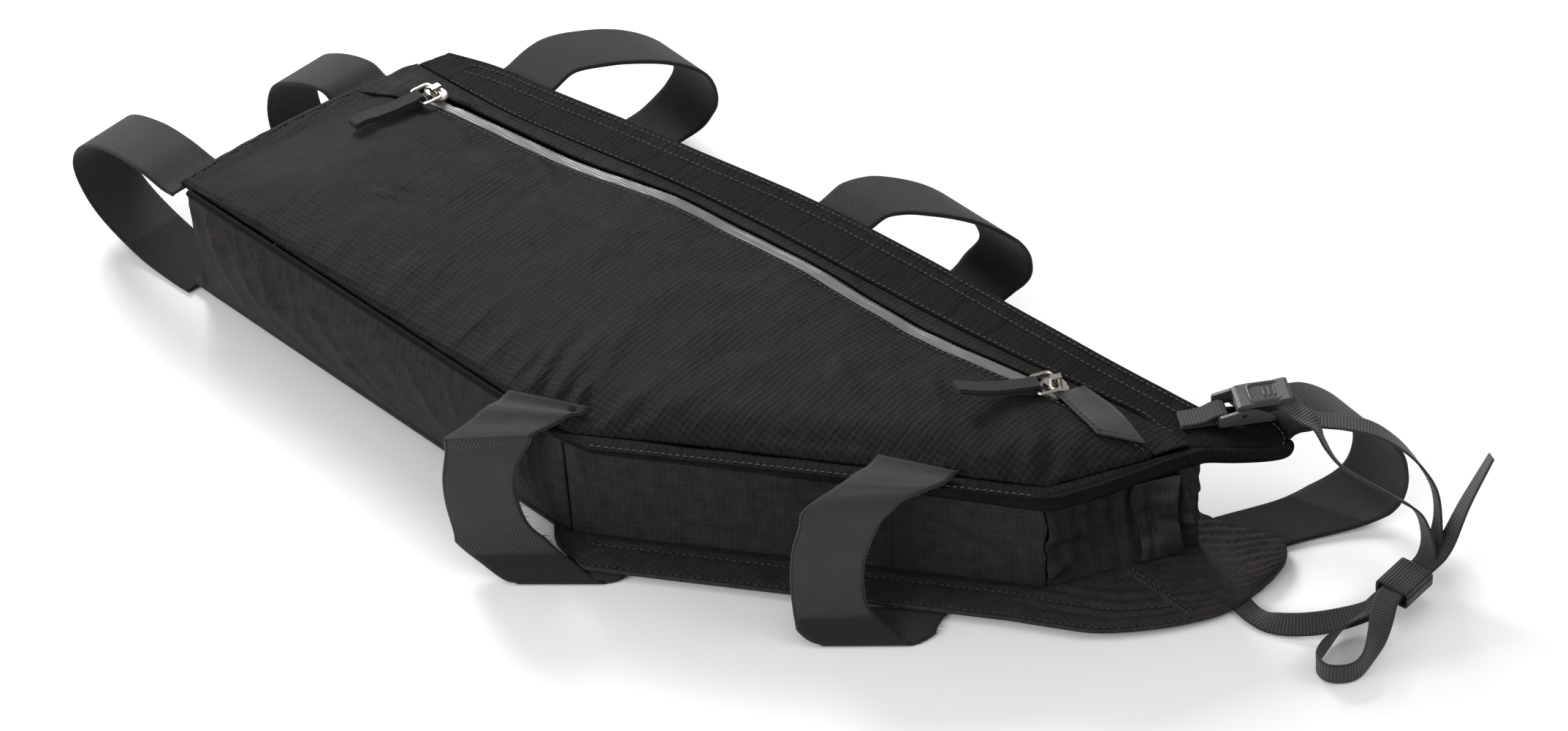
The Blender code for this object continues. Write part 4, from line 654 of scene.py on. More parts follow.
def ribbed_webbing(name, dark, light):
    """Narrow webbing with ribs across it and denser edges."""
    g = Graph(name)
    place = g.cloth_place()
    x, y = g.split(place)
    rib = g.wave(x, 1.35)
    edge = g.step(g.math("ABSOLUTE", y), WEBBING_WIDTH * 0.40, WEBBING_WIDTH * 0.46)
    lint = g.noise(place, 1.6, 3.0, 0.6)
    g.bump((rib, 0.17), (g.wave(y, 1.25), 0.03), (lint, 0.06))
    tone = g.total((rib, 0.34), (lint, 0.7), (edge, -0.35))
    rough = g.total((lint, 0.12), 0.62)
    return g.finish(tone, dark, light, rough, Sheen_Weight=0.15, Specular_IOR_Level=0.35)


def coated_cloth(name, dark, light, roughness, ridges):
    """Rubber-coated tape: smooth, with faint long ridges and rub marks."""
    g = Graph(name)
    place = g.cloth_place()
    ridge = g.wave(g.split(place)[1], ridges)
    rub = g.noise(g.scaled(place, 0.12, 1.0, 1.0), 0.9, 4.0)
    g.bump((ridge, 0.05), (g.noise(place, 3.0, 2.0), 0.05), (rub, 0.12))
    tone = g.total((rub, 0.8), (ridge, 0.12))
    return g.finish(tone, dark, light, g.total((rub, 0.22), roughness - 0.11), Specular_IOR_Level=0.35)


def moulded_plastic(name, dark, light):
    g = Graph(name)
    place = g.solid_place()
    scuff = g.noise(place, 0.35, 4.0, 0.7)
    g.bump((g.noise(place, 2.4, 3.0), 0.05), (scuff, 0.06))
    return g.finish(scuff, dark, light, g.total((scuff, 0.3), 0.24), Specular_IOR_Level=0.5)


def plated_metal(name, dark, light):
    g = Graph(name)
    place = g.solid_place()
    scratch = g.noise(g.scaled(place, 4.0, 0.5, 1.0), 1.2, 3.0)
    g.bump((scratch, 0.03))
    return g.finish(g.noise(place, 0.5, 3.0), dark, light, g.total((scratch, 0.22), 0.12), Metallic=1.0)


def sewing_thread(name, dark, light):
    g = Graph(name)
    place = g.cloth_place()
    g.bump((g.wave(g.total(*g.split(place)), 0.5), 0.05))
    tone = g.noise(place, 0.8, 2.0)
    return g.finish(tone, dark, light, g.total((tone, 0.2), 0.5))


RIPSTOP = ripstop_cloth("ripstop", (0.0030, 0.0028, 0.0025), (0.0250, 0.0236, 0.0218), 0.42, 0.30, 0.13)
BAND = ripstop_cloth("ripstop_band", (0.0018, 0.0016, 0.0015), (0.0085, 0.0078, 0.0072), 0.50, 0.15, 0.08)
# The lower panel's ripstop is a lighter copy as well: painted light that keeps its flange and tongue, which
# lie low by the floor in shade, as bright as the parts above.
LOWER_PAINTED_LIGHT = ripstop_cloth("ripstop_lower_painted_light", (0.012, 0.0108, 0.0100), (0.052, 0.0470, 0.0435), 0.50, 0.12, 0.09)
# The walls' ripstop is a lighter copy of the panel's: painted light that makes up for the walls getting less
# light than the upper side.
WALL_PAINTED_LIGHT = ripstop_cloth("ripstop_wall_painted_light", (0.007, 0.0064, 0.0059), (0.044, 0.0400, 0.0370), 0.50, 0.14, 0.08)
PIPING_CLOTH = ripstop_cloth("piping_cloth", (0.004, 0.004, 0.004), (0.012, 0.012, 0.012), 0.7, 0.1, 0.05)
TWILL = twill_strap("strap_twill", (0.0070, 0.0070, 0.0074), (0.064, 0.0635, 0.0655), 0.80, 1.3,
                    STRAP_WIDTH, HOOK_LENGTH)
# A darker copy of the strap twill for the seat and top straps: painted shade, since these straps catch more
# of the key light than the front ones.
TWILL_PAINTED_SHADE = twill_strap("strap_twill_painted_shade", (0.0045, 0.0045, 0.0047), (0.036, 0.0355, 0.0365), 0.85, 1.3,
                         STRAP_WIDTH, HOOK_LENGTH)
TAB = twill_strap("tab_twill", (0.004, 0.004, 0.004), (0.020, 0.0195, 0.019), 0.75, 1.0, PULL_WIDTH * 0.6)
WEBBING = ribbed_webbing("webbing", (0.006, 0.006, 0.0062), (0.046, 0.0455, 0.0460))
TAPE = coated_cloth("zipper_coating", (0.075, 0.072, 0.069), (0.155, 0.149, 0.143), 0.34, 1.5)
GARAGE = coated_cloth("garage_coating", (0.016, 0.0155, 0.0150), (0.034, 0.033, 0.0320), 0.50, 0.8)
FLAP = coated_cloth("flap_coating", (0.006, 0.0056, 0.0052), (0.024, 0.022, 0.0205), 0.44, 1.1)
COIL = coated_cloth("zipper_coil", (0.002, 0.002, 0.002), (0.008, 0.008, 0.008), 0.5, 0.6)
PLASTIC = moulded_plastic("buckle_plastic", (0.028, 0.0285, 0.029), (0.062, 0.063, 0.065))
NICKEL = plated_metal("nickel", (0.26, 0.24, 0.215), (0.50, 0.47, 0.43))
THREAD = sewing_thread("thread", (0.024, 0.0228, 0.0214), (0.060, 0.0570, 0.0540))


def shape(name, points, faces, uvs, look, slot, replaces=(), body="body"):
    """One object from plan points in millimetres, riding on the bag."""
    mesh = bpy.data.meshes.new(name)
    mesh.from_pydata(((np.asarray(points) - ORIGIN) * MM).tolist(), [], faces)
    mesh.update()
    corners = np.empty(len(mesh.loops), int)
    mesh.loops.foreach_get("vertex_index", corners)
    layer = mesh.uv_layers.new(name="cloth")
    layer.data.foreach_set("uv", (np.asarray(uvs)[corners] / UV_MM).ravel())
    bm = bmesh.new()
    bm.from_mesh(mesh)
    bmesh.ops.recalc_face_normals(bm, faces=bm.faces)
    bm.to_mesh(mesh)
    bm.free()
    mesh.shade_smooth()
    mesh.materials.append(look)
    item = bpy.data.objects.new(name, mesh)
    bpy.context.scene.collection.objects.link(item)
    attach(item, body)
    if replaces:
        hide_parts(*replaces)


def slab(name, outer, inner, uv, look, slot, replaces=(), rim_rows=1):
    """A closed piece of cloth between two matching grids, with rounded rims."""
    rows, columns = outer.shape[:2]
    loop = [(i, 0) for i in range(rows)] + [(rows - 1, j) for j in range(1, columns)]
    loop += [(i, columns - 1) for i in range(rows - 2, -1, -1)] + [(0, j) for j in range(columns - 2, 0, -1)]
    outer = outer.copy()
    inner = inner.copy()
    middle = (outer + inner) / 2
    rim = []
    for i, j in loop:
        ni = min(max(i, 1), rows - 2)
        nj = min(max(j, 1), columns - 2) if columns > 2 else j
        away = middle[i, j] - middle[ni, nj]
        length = np.linalg.norm(away)
        half = (outer[i, j] - inner[i, j]) / 2
        out = away / max(length, 1e-6) * min(np.linalg.norm(half), 0.7 * length)
        outer[i, j] -= out
        inner[i, j] -= out
        for angle in np.pi * np.arange(1, rim_rows + 1) / (rim_rows + 1):
            rim.append(middle[i, j] + half * math.cos(angle) + out * (math.sin(angle) - 1))
    count = rows * columns
    points = np.concatenate([outer.reshape(-1, 3), inner.reshape(-1, 3), np.array(rim)])
    rim_uv = np.repeat(np.array([uv[i, j] for i, j in loop]), rim_rows, axis=0)
    uvs = np.concatenate([uv.reshape(-1, 2), uv.reshape(-1, 2), rim_uv])
    faces = []
    for i in range(rows - 1):
        for j in range(columns - 1):
            a = i * columns + j
            faces.append((a, a + columns, a + columns + 1, a + 1))
            faces.append((count + a, count + a + 1, count + a + columns + 1, count + a + columns))

    def rim_line(k):
        """Points from the outer grid round the rim to the inner one, at one step of the loop."""
        corner = loop[k][0] * columns + loop[k][1]
        first = 2 * count + k * rim_rows
        return [corner, *range(first, first + rim_rows), count + corner]

    for k in range(len(loop)):
        here, after = rim_line(k), rim_line((k + 1) % len(loop))
        for r in range(rim_rows + 1):
            faces.append((here[r], here[r + 1], after[r + 1], after[r]))
    shape(name, points, faces, uvs, look, slot, replaces)


class Tubes:
    """Closed tubes of rings of points, collected into one piece.

    Each ring is its centre, the vectors from there to its first corner and a quarter turn on,
    its place along the cloth and the step across the cloth from corner to corner.
    """

    def __init__(self, sides, power=1.0):
        self.points, self.uvs, self.faces = [], [], []
        turns = 2 * np.pi * np.arange(sides) / sides
        self.ring = [np.sign(wave) * np.abs(wave) ** power for wave in (np.cos(turns), np.sin(turns))]
        self.sides = sides

    def add(self, rings):
        sides = self.sides
        first = len(self.points)
        for i, (centre, right, up, along, step) in enumerate(rings):
            for k, (cosine, sine) in enumerate(zip(*self.ring)):
                self.points.append(np.asarray(centre) + np.asarray(right) * cosine + np.asarray(up) * sine)
                self.uvs.append([along, k * step])
                if i:
                    a = first + (i - 1) * sides + k
                    b = first + (i - 1) * sides + (k + 1) % sides
                    self.faces.append((a, b, b + sides, a + sides))
        last = len(self.points) - sides
        self.faces.append(tuple(range(first, first + sides)))
        self.faces.append(tuple(range(last, last + sides))[::-1])

    def build(self, name, *values, **settings):
        shape(name, self.points, self.faces, self.uvs, *values, **settings)


def rounded_box(low, high, corner, steps):
    """Closed path round a flat box with round corners."""
    path = []
    for a, b, start in ((1, 1, 0), (0, 1, 90), (0, 0, 180), (1, 0, 270)):
        centre = np.array([high[0] - corner if a else low[0] + corner,
                           high[1] - corner if b else low[1] + corner])
        path += [centre + plan(corner, start + 90 * k / (steps - 1)) for k in range(steps)]
    return np.array(path + path[:1])


def grid_uv(grid):
    """Cloth laid flat as it lies in the plan."""
    return grid[:, :, :2].copy()


def ruled_uv(grid):
    """Cloth coordinates that run along a grid's rows and across its columns."""
    along = np.linalg.norm(np.diff(grid, axis=0), axis=2).mean(1)
    across = np.linalg.norm(np.diff(grid, axis=1), axis=2).mean(0)
    u = np.concatenate([[0], np.cumsum(along)])
    v = np.concatenate([[0], np.cumsum(across)])
    return np.stack(np.meshgrid(u, v - v[-1] / 2, indexing="ij"), 2)


def low_edge(count):
    """Plan points along the low side of the upper panel, and the places that face them above."""
    low, _ = on_chain(LOW_SIDE, np.linspace(0, LOW_FRONT, count), -PANEL_INSET)
    share = (low[:, 0] - low[0, 0]) / (low[-1, 0] - low[0, 0])
    return low, share * PANEL_FRONT


def to_front_edge(grid, rows):
    """Add rows to a grid up to the front edge of the upper side."""
    slant = (CORNER_E - CORNER_D) / FRONT_LENGTH
    y = grid[-1, :, 1]
    x = TOP_LENGTH - PANEL_INSET / slant[1] + y * slant[0] / slant[1]
    last = np.stack([x, y], 1)
    steps = [grid[-1] + (last - grid[-1]) * k / rows for k in range(1, rows + 1)]
    return np.concatenate([grid, np.array(steps)], 0)


def upper_piece(name, grid, thickness, look, slot, replaces=(), sink=0.0, shaped=0.0):
    """A slab that follows the upper surface, sunk into it and with added heights."""
    outer = lifted(grid, upper_surface, sink)
    inner = lifted(grid, upper_surface, sink + thickness)
    outer[:, :, 2] += shaped
    inner[:, :, 2] += shaped
    slab(name, outer, inner, grid_uv(grid), look, slot, replaces)


def side_panel():
    low, x = low_edge(210)
    high = np.stack([x, zip_y(x) - ZIP_SLIT / 2 - TAPE_SHOWN - GAP], 1)
    across = np.linspace(0, 1, 74) ** 1.15
    grid = bowed(between(low, high, across), REAR_RIM)
    width = np.linalg.norm(high - low, axis=1)[:, None]
    from_low = across[None, :] * width
    from_high = (1 - across)[None, :] * width
    tuck = -SEAM_TUCK * bell(from_low, 1.6)
    needle = -0.35 * bell(from_high, 0.7, 1.4)
    puckers = 0.20 * np.sin(low[:, 0] / 0.85)[:, None] * bell(from_low, 3.0, 3.0)
    y = grid[:, :, 1]
    from_rear = over_grid(lambda xy: line_distance(xy, CORNER_A, CORNER_B), grid)
    from_rear = from_rear + SEAT_BOW * 4 * seat_share(y) * (1 - seat_share(y))

    def lumps(scale, seed):
        return noise2(y, 0 * y, scale, seed)

    wander = 3.0 * lumps(22.0, 91) + lumps(7.0, 92)
    seam = -0.6 * (0.45 + 0.55 * lumps(16.0, 93)) * bell(from_rear - wander, 1.5, 3.0)
    seam += 0.5 * bell(from_rear + 2.0 * wander, 2.6, 8.0) * (lumps(30.0, 94) + 0.3)
    seam += 0.30 * np.sin(y / 1.9 + 2.0 * lumps(9.0, 95)) * bell(from_rear, 3.0, -3.5)
    shaped = tuck + needle + puckers + seam
    upper_piece("panel_side", grid, CLOTH, RIPSTOP, "ripstop", ["side_panel"], shaped=shaped)
    return [("panel", high - np.array([0.0, 1.4]), panel_top(-0.1))]


def zip_panel():
    _, x = low_edge(210)
    past_slider = np.clip((x - SLIT_START) / 12.0, 0, 1)
    low = np.stack([x, zip_y(x) + ZIP_SLIT / 2 - past_slider * (TAPE_SHOWN + ZIP_SLIT)], 1)
    high = np.stack([x, seam_y(x) - GAP], 1)
    across = np.linspace(0, 1, 16)
    front_rows = 6
    grid = to_front_edge(bowed(between(low, high, across), REAR_RIM), front_rows)
    span = np.pad(high[:, 1] - low[:, 1], (0, front_rows), mode="edge")
    roll = hump(across)[None, :] * np.clip(span[:, None] / 14.0, 0.25, 1.0) * 1.3
    edge = np.clip(np.minimum(across, 1 - across) * 5, 0, 1)[None, :]
    shaped = roll * 0.6 + 0.35 * grid_noise(grid, 11.0, 21) * edge
    upper_piece("panel_zip", grid, CLOTH, RIPSTOP, "ripstop", ["zip_panel"], shaped=shaped)


def zipper_tape():
    _, x = low_edge(210)
    high = np.stack([x, zip_y(x) - ZIP_SLIT / 2], 1)
    low = high - np.array([0, TAPE_SHOWN])
    across = np.linspace(0, 1, 9)
    grid = bowed(between(low, high, across), -PANEL_INSET)[x <= SLIT_START - 1.0]
    lip = 0.55 * bell(across, 0.16, 0.86) - 0.25 * bell(across, 0.08, 0.08)
    upper_piece("tape_zip", grid, CLOTH * 0.8, TAPE, "coated_cloth", ["zipper_tape"], shaped=lip)


def zipper_coil():
    """The closed slit between the tapes, with the coil's teeth just below it."""
    _, x = low_edge(420)
    low = np.stack([x, zip_y(x) - ZIP_SLIT / 2 + GAP], 1)
    high = np.stack([x, zip_y(x) + ZIP_SLIT / 2 - GAP], 1)
    across = np.linspace(0, 1, 5)
    grid = bowed(between(low, high, across), -PANEL_INSET)[x <= ZIP_FRONT]
    teeth = 0.22 * np.sin(grid[:, :, 0] * np.pi + np.pi * (across > 0.5)[None, :])
    upper_piece("coil", grid, 1.2, COIL, "coated_cloth", ["zipper_coil"], CLOTH * 0.4 + 0.3, teeth)


def tongue_spots(*pairs):
    """Plan points from the front corner, in tongue reaches."""
    return [CORNER_E + np.array(pair) * TONGUE_REACH for pair in pairs]


def top_band():
    """Flange over the top tube: outer rim, two rows of sewing, and the rolled front tongue."""
    main = 250
    x = np.linspace(0, TOP_LENGTH * 0.97, main)
    seam = np.stack([x, seam_y(x)], 1)
    rim = np.stack([x, rim_y(x)], 1)
    seam[:, 1] -= 2.6 * ease((x - TOP_LENGTH * 0.93) / (TOP_LENGTH * 0.03))
    near = [seam[-1], *tongue_spots((-0.10, -0.12), (0.16, 0.06), (0.46, 0.35), (0.85, 0.66)), TONGUE_TIP]
    far = [rim[-1], *tongue_spots((-0.15, 1.08), (0.33, 1.22), (0.82, 1.08)), TONGUE_TIP + (-0.6, 1.2)]
    seam = np.vstack([seam, smooth_path(near, 46)[1:]])
    rim = np.vstack([rim, smooth_path(far, 46)[1:]])
    across = np.linspace(0, 1, 26)
    grid = between(seam, rim, across)
    grid[:main] = bowed(grid[:main], REAR_RIM - 1.0)
    width = np.linalg.norm(rim - seam, axis=1)[:, None]
    from_rim = (1 - across)[None, :] * width
    height = BAG_DEPTH - 0.32 * sum(bell(from_rim, 0.7, row) for row in BAND_ROWS)
    height += 0.30 * bell(from_rim, 1.1, 0.9) - 0.5 * bell(across[None, :] * width, 1.4)
    wave = grid_noise(grid, 24.0, 31) + 0.5 * grid_noise(grid, 9.0, 32)
    height += 0.30 * (wave + 1.2) * np.clip(from_rim / 3.0, 0.3, 1)
    slab("band_top", raised(grid, height), raised(grid, BAG_DEPTH - BAND_CLOTH), grid_uv(grid), BAND,
         "ripstop", ["top_band"], rim_rows=3)
    flat = level(BAG_DEPTH + 0.25)
    toward = (seam - rim) / width
    keep = slice(6, main)
    rows = [("band", rim[keep] + toward[keep] * gap, flat) for gap in BAND_ROWS]
    rows.append(("band", seam[keep] - toward[keep] * 1.6, flat))
    rows.append(("band", rim[main:] + toward[main:] * BAND_ROWS[0], flat))
    return rows


def rim_thickness(lengths):
    """The low flange is thin at corner C and a thick rolled rim at the front."""
    share = np.clip((lengths - LENGTH_C) / (LENGTH_D - LENGTH_C), 0, 1)
    return DOWN_FLANGE_THICK + (FRONT_RIM_THICK - DOWN_FLANGE_THICK) * share**2


def down_flange():
    lengths = np.linspace(FLANGE_START, LOW_TOTAL - 1.5, 220)
    width = DOWN_FLANGE * np.clip((lengths - FLANGE_START) / 20.0, 0.3, 1)
    width *= np.clip(1.25 - (lengths - LENGTH_D) / FRONT_LENGTH, 0.45, 1)
    inner_edge, _ = on_chain(LOW_SIDE, lengths, -2.0)
    outer_edge, _ = on_chain(LOW_SIDE, lengths, width)
    across = np.linspace(0, 1, 16)
    grid = between(inner_edge, outer_edge, across)
    thick = rim_thickness(lengths)[:, None]
    rim = np.clip((across - 0.8) / 0.2, 0, 1)[None, :]
    span = (width + 2.0)[:, None]
    height = BAG_DEPTH - 0.35 * rim**1.6 * thick + 0.25 * grid_noise(grid, 13.0, 41)
    height -= 0.35 * bell((1 - across)[None, :] * span, 0.7, 3.0) + 0.8 * bell(across[None, :] * span, 1.3)
    inner = raised(grid, BAG_DEPTH - thick + 0.2 * rim * thick)
    slab("flange_down", raised(grid, height), inner, ruled_uv(grid), BAND, "ripstop", ["down_flange"],
         rim_rows=3)
    row, _ = on_chain(LOW_SIDE, lengths, width - 3.0)
    keep = (lengths > LENGTH_C + 12) & (lengths < LENGTH_D - 4)
    return [("flange", row[keep], level(BAG_DEPTH - 0.1))]


def seat_flange():
    shares = np.linspace(0.125, 0.985, 90)
    grid = between(seat_line(shares, -2.0), seat_line(shares, SEAT_FLANGE), np.linspace(0, 1, 12))
    slab("flange_seat", raised(grid, BAG_DEPTH - CLOTH - GAP), raised(grid, BAG_DEPTH - DOWN_FLANGE_THICK),
         ruled_uv(grid), BAND, "ripstop", ["seat_flange"])
    return [("flange", seat_line(shares, SEAT_FLANGE - 2.6), panel_top(0.05))]


def piping():
    """Black corded seam between the upper panel and the bottom gusset."""
    lengths = np.linspace(2.0, FLANGE_START - GAP, 240)
    path, normals = on_chain(LOW_SIDE, lengths, -2.0 + PIPING / 2)
    sides = 12
    rings = []
    for length, spot, normal in zip(lengths, path, normals):
        radius = PIPING / 2 * (1 + 0.06 * math.sin(length * 2.1))
        rings.append(([*spot, BAG_DEPTH - PIPING / 2], [*(normal * radius), 0.0], [0.0, 0.0, radius],
                      length, 2 * math.pi * radius / sides))
    cord = Tubes(sides)
    cord.add(rings)
    cord.build("piping", PIPING_CLOTH, "strap_twill", ["bottom_piping"])


def gathered(share):
    """Sideways wander of the upright seam at corner D."""
    return 1.3 * np.sin(share * 11.0 + 0.6) * hump(share) + 1.6 * bell(share, 0.07, 0.34)


def wall(name, node, lengths, tops, swell, rows, chain=LOW_SIDE, folds=(), start=0.0, wander=0.0):
    """A side wall of cloth; folds are given by running length from start and height.

    With wander, the wall's end at corner D follows the gathered seam; it gives that end's
    share of the movement at each running length.
    """
    outer = np.zeros((len(lengths), rows, 3))
    inner = np.zeros_like(outer)
    uv = np.zeros((len(lengths), rows, 2))
    tops = np.broadcast_to(tops, lengths.shape)
    for j, share in enumerate(np.linspace(0, 1, rows)):
        z = WALL_LOW + (tops - WALL_LOW) * share
        place = np.stack([lengths - start, z], 1)
        crease = fold_height(place, folds) + 0.45 * noise2(lengths, z, 21.0, 51)
        crease += 0.16 * noise2(lengths, z + lengths * 0.5, 7.0, 52)
        out = swell(lengths, share) - 0.5 + crease * np.clip(min(share, 1 - share) * 9, 0, 1)
        run = lengths + wander * gathered(share)
        outer[:, j, :2], _ = on_chain(chain, run, out)
        inner[:, j, :2], _ = on_chain(chain, run, out - CLOTH)
        outer[:, j, 2] = inner[:, j, 2] = z
        uv[:, j] = place
    # The walls wear the lighter copy of the ripstop, which is painted light.
    slab(name, outer, inner, uv, WALL_PAINTED_LIGHT, "ripstop", [node])


def bottom_gusset():
    lengths = np.linspace(0.5, LENGTH_C - 1.0, 230)

    def swell(at, share):
        body = GUSSET_BULGE * hump(share) * ease(at / 25.0) * ease((LENGTH_C - at) / 25.0)
        pucker = 0.55 * np.sin(at * 2 * np.pi / 4.2) * bell(share, 0.09, 0.90)
        return body + pucker * bell(at, 62.0, 130.0)

    wall("wall_bottom", "bottom_gusset", lengths, BAG_DEPTH - PIPING - GAP, swell, 52, folds=GUSSET_FOLDS)


def down_tube_wall():
    lengths = np.linspace(LENGTH_C - 1.0 + GAP, LENGTH_D - 1.0, 190)

    def swell(at, share):
        along = np.clip((at - LENGTH_C) / (LENGTH_D - LENGTH_C), 0, 1)
        return -WALL_HOLLOW * hump(share) * hump(along)

    wander = np.clip((lengths - LENGTH_D + 13.0) / 12.0, 0, 1) ** 2
    wall("wall_down", "down_tube_wall", lengths, BAG_DEPTH - rim_thickness(lengths) - GAP, swell, 44,
         folds=DOWN_WALL_FOLDS, start=LENGTH_C, wander=wander)


def front_pull(at, share):
    """How far the front wall is drawn in."""
    along = np.clip((at - LENGTH_D) / FRONT_LENGTH, 0, 1)
    return -FRONT_HOLLOW * hump(share) * hump(np.clip(along * 1.15, 0, 1))


def front_wall():
    lengths = np.linspace(LENGTH_D - 1.0 + GAP, LOW_TOTAL - 0.5, 110)

    def swell(at, share):
        along = np.clip((at - LENGTH_D) / FRONT_LENGTH, 0, 1)
        gathers = 0.8 * np.sin(at * 0.75 + 2.5 * share) * ease(along * 4)
        ruffle = 1.1 * np.sin(share * 21.0) + 0.8 * np.sin(share * 37.0 + 1.0)
        gathers = gathers + ruffle * bell(at - LOW_TOTAL, 7.0, -2.0)
        top_gathers = 0.5 * np.sin(at * 1.5) * bell(share, 0.10, 0.95)
        return front_pull(at, share) + gathers * hump(share) + top_gathers

    wander = np.clip((LENGTH_D + 11.0 - lengths) / 12.0, 0, 1) ** 2
    wall("wall_front", "front_wall", lengths, BAG_DEPTH - rim_thickness(lengths) - GAP, swell, 60,
         folds=FRONT_WALL_FOLDS, start=LENGTH_D, wander=wander)


def hidden_wall(name, node, path, count, top, bulge):
    """A plain wall along its own path, bulging in the middle."""
    chain = chain_of(path)
    total = chain["length"][-1]

    def swell(at, share):
        return bulge * hump(share) * hump(at / total)

    wall(name, node, np.linspace(0, total, count), top, swell, 36, chain=chain)


def seat_tube_wall():
    path = seat_line(np.linspace(0.108, 0.992, 40))
    hidden_wall("wall_seat", "seat_tube_wall", path, 110, BAG_DEPTH - DOWN_FLANGE_THICK - GAP, 2.0)


def top_tube_wall():
    x = np.linspace(TOP_LENGTH * 0.9965, -4.6, 120)
    path = np.stack([x, seam_y(x) + 1.5], 1)
    hidden_wall("wall_top", "top_tube_wall", path, 240, BAG_DEPTH - BAND_CLOTH - GAP, -1.5)


def lower_panel():
    """The side on the floor, with its flange, the wide front tongue and their sewing."""
    lengths = np.concatenate([np.linspace(0, LENGTH_C - ROUND_C, 70),
                              np.linspace(LENGTH_C - ROUND_C, LENGTH_C + ROUND_C, 30)[1:],
                              np.linspace(LENGTH_C + ROUND_C, LENGTH_D - CORNER_RADIUS, 80)[1:]])
    past_c = np.clip((lengths - LENGTH_C + 10.0) / 20.0, 0, 1)
    low, _ = on_chain(LOW_SIDE, lengths, LOWER_FLANGE * past_c)
    low_wall, _ = on_chain(LOW_SIDE, lengths, 0.0)
    low_in, _ = on_chain(LOW_SIDE, lengths, -BELLY_MARGIN)
    x = (low_wall[:, 0] - low_wall[0, 0]) / (TOP_LENGTH - low_wall[0, 0]) * TOP_LENGTH
    high = np.stack([x, rim_y(x)], 1)
    high_wall = np.stack([x, seam_y(x)], 1)
    high_in = np.stack([x, seam_y(x) - BELLY_MARGIN], 1)
    curves = [low, low_wall, low_in, high_in, high_wall, high]
    strips = [low[:, None]]
    for start, end, count in zip(curves, curves[1:], (14, 8, 12, 6, 12)):
        strips.append(between(start, end, np.linspace(0, 1, count + 1)[1:]))
    grid = bowed(np.concatenate(strips, 1), SEAT_FLANGE)
    rim = [CORNER_E + LOWER_TONGUE * np.array(row) for row in LOWER_TONGUE_RIM]
    rims = []
    for edge, turns in ((low, rim[:TONGUE_TURN]), (high, rim[:TONGUE_TURN - 1:-1])):
        path = smooth_path([edge[-8], edge[-1], *turns], 160)
        path = path[np.linalg.norm(path - edge[-1], axis=1) > 1.5]
        path = path[path[:, 0] > edge[-1, 0]]
        rims.append(smooth_path(np.vstack([edge[-1:], path]), 90)[1:])
    run = np.linalg.norm(grid[-1] - grid[-1, 0], axis=1)
    tongue = between(*rims, run / run[-1])
    grid = np.concatenate([grid, tongue], 0)
    bottom = lifted(grid, lower_surface)
    top = bottom.copy()
    top[:, :, 2] += CLOTH
    step = np.linalg.norm(np.diff(grid, axis=1), axis=2)
    from_low = np.concatenate([np.zeros((len(grid), 1)), np.cumsum(step, 1)], 1)
    on_tongue = np.zeros((len(grid), 1))
    on_tongue[-len(tongue):] = 1.0
    fan = np.sin(from_low * 1.05 + 1.6 * grid_noise(grid, 12.0, 62))
    fan = 0.42 * fan * np.clip((from_low - 5.0) / 5.0, 0, 1) * on_tongue
    join = over_grid(lambda xy: line_distance(xy, *TONGUE_SEAM), grid)
    lap = 0.9 / (1 + np.exp(-join / 0.30)) - 0.4 * bell(join, 0.8, 3.0)
    relief = 0.40 * bell(from_low, 1.2, 1.2) - 0.5 * sum(bell(from_low, 0.8, row) for row in LOWER_ROWS)
    relief += fan + 0.21 * grid_noise(grid, 17.0, 61) + 0.4 + lap * on_tongue
    raised_cloth = (from_low < LOWER_FLANGE - 1.0) | (on_tongue > 0)
    top[:, :, 2] += np.where(raised_cloth, np.maximum(relief, -0.5), 0.0)
    # The lower panel wears the lighter copy of the ripstop, which is painted light.
    slab("panel_lower", top, bottom, grid_uv(grid), LOWER_PAINTED_LIGHT, "ripstop", ["lower_panel"])
    outer_row = np.concatenate([low, rims[0]])
    inward = unit_rows(np.concatenate([low_in - low, tongue[:, 6] - rims[0]]))
    past = np.concatenate([lengths > LENGTH_C + 6.0, np.ones(len(rims[0]), bool)])
    rows = [("lower", (outer_row + inward * gap)[past], lower_top(0.05)) for gap in LOWER_ROWS]
    return rows + tongue_seam()


def tongue_seam():
    """Lapped tape over the seam across the lower tongue."""
    across = TONGUE_SEAM[1] - TONGUE_SEAM[0]
    diagonal = TONGUE_SEAM[0] + np.linspace(0.06, 0.94, 30)[:, None] * across
    way = across / np.linalg.norm(across)
    beside = np.array([-way[1], way[0]]) * 3.0
    tape = between(diagonal - beside * 0.25, diagonal + beside, np.linspace(0, 1, 10))
    tape_height = 1.35
    above = lifted(tape, lower_top(tape_height))
    above[:, :, 2] += 0.15 * np.sin(np.arange(len(tape)) * 1.3)[:, None]
    above[:, :, 2] -= 0.5 * np.abs(np.linspace(-1, 1, 10))[None, :] ** 4
    # The seam tape wears the same lighter copy of the ripstop: painted light.
    slab("seam_tongue", above, lifted(tape, lower_top()), grid_uv(tape), LOWER_PAINTED_LIGHT, "ripstop")
    return [("lower", diagonal + beside * gap, lower_top(tape_height)) for gap in (0.1, 0.75)]


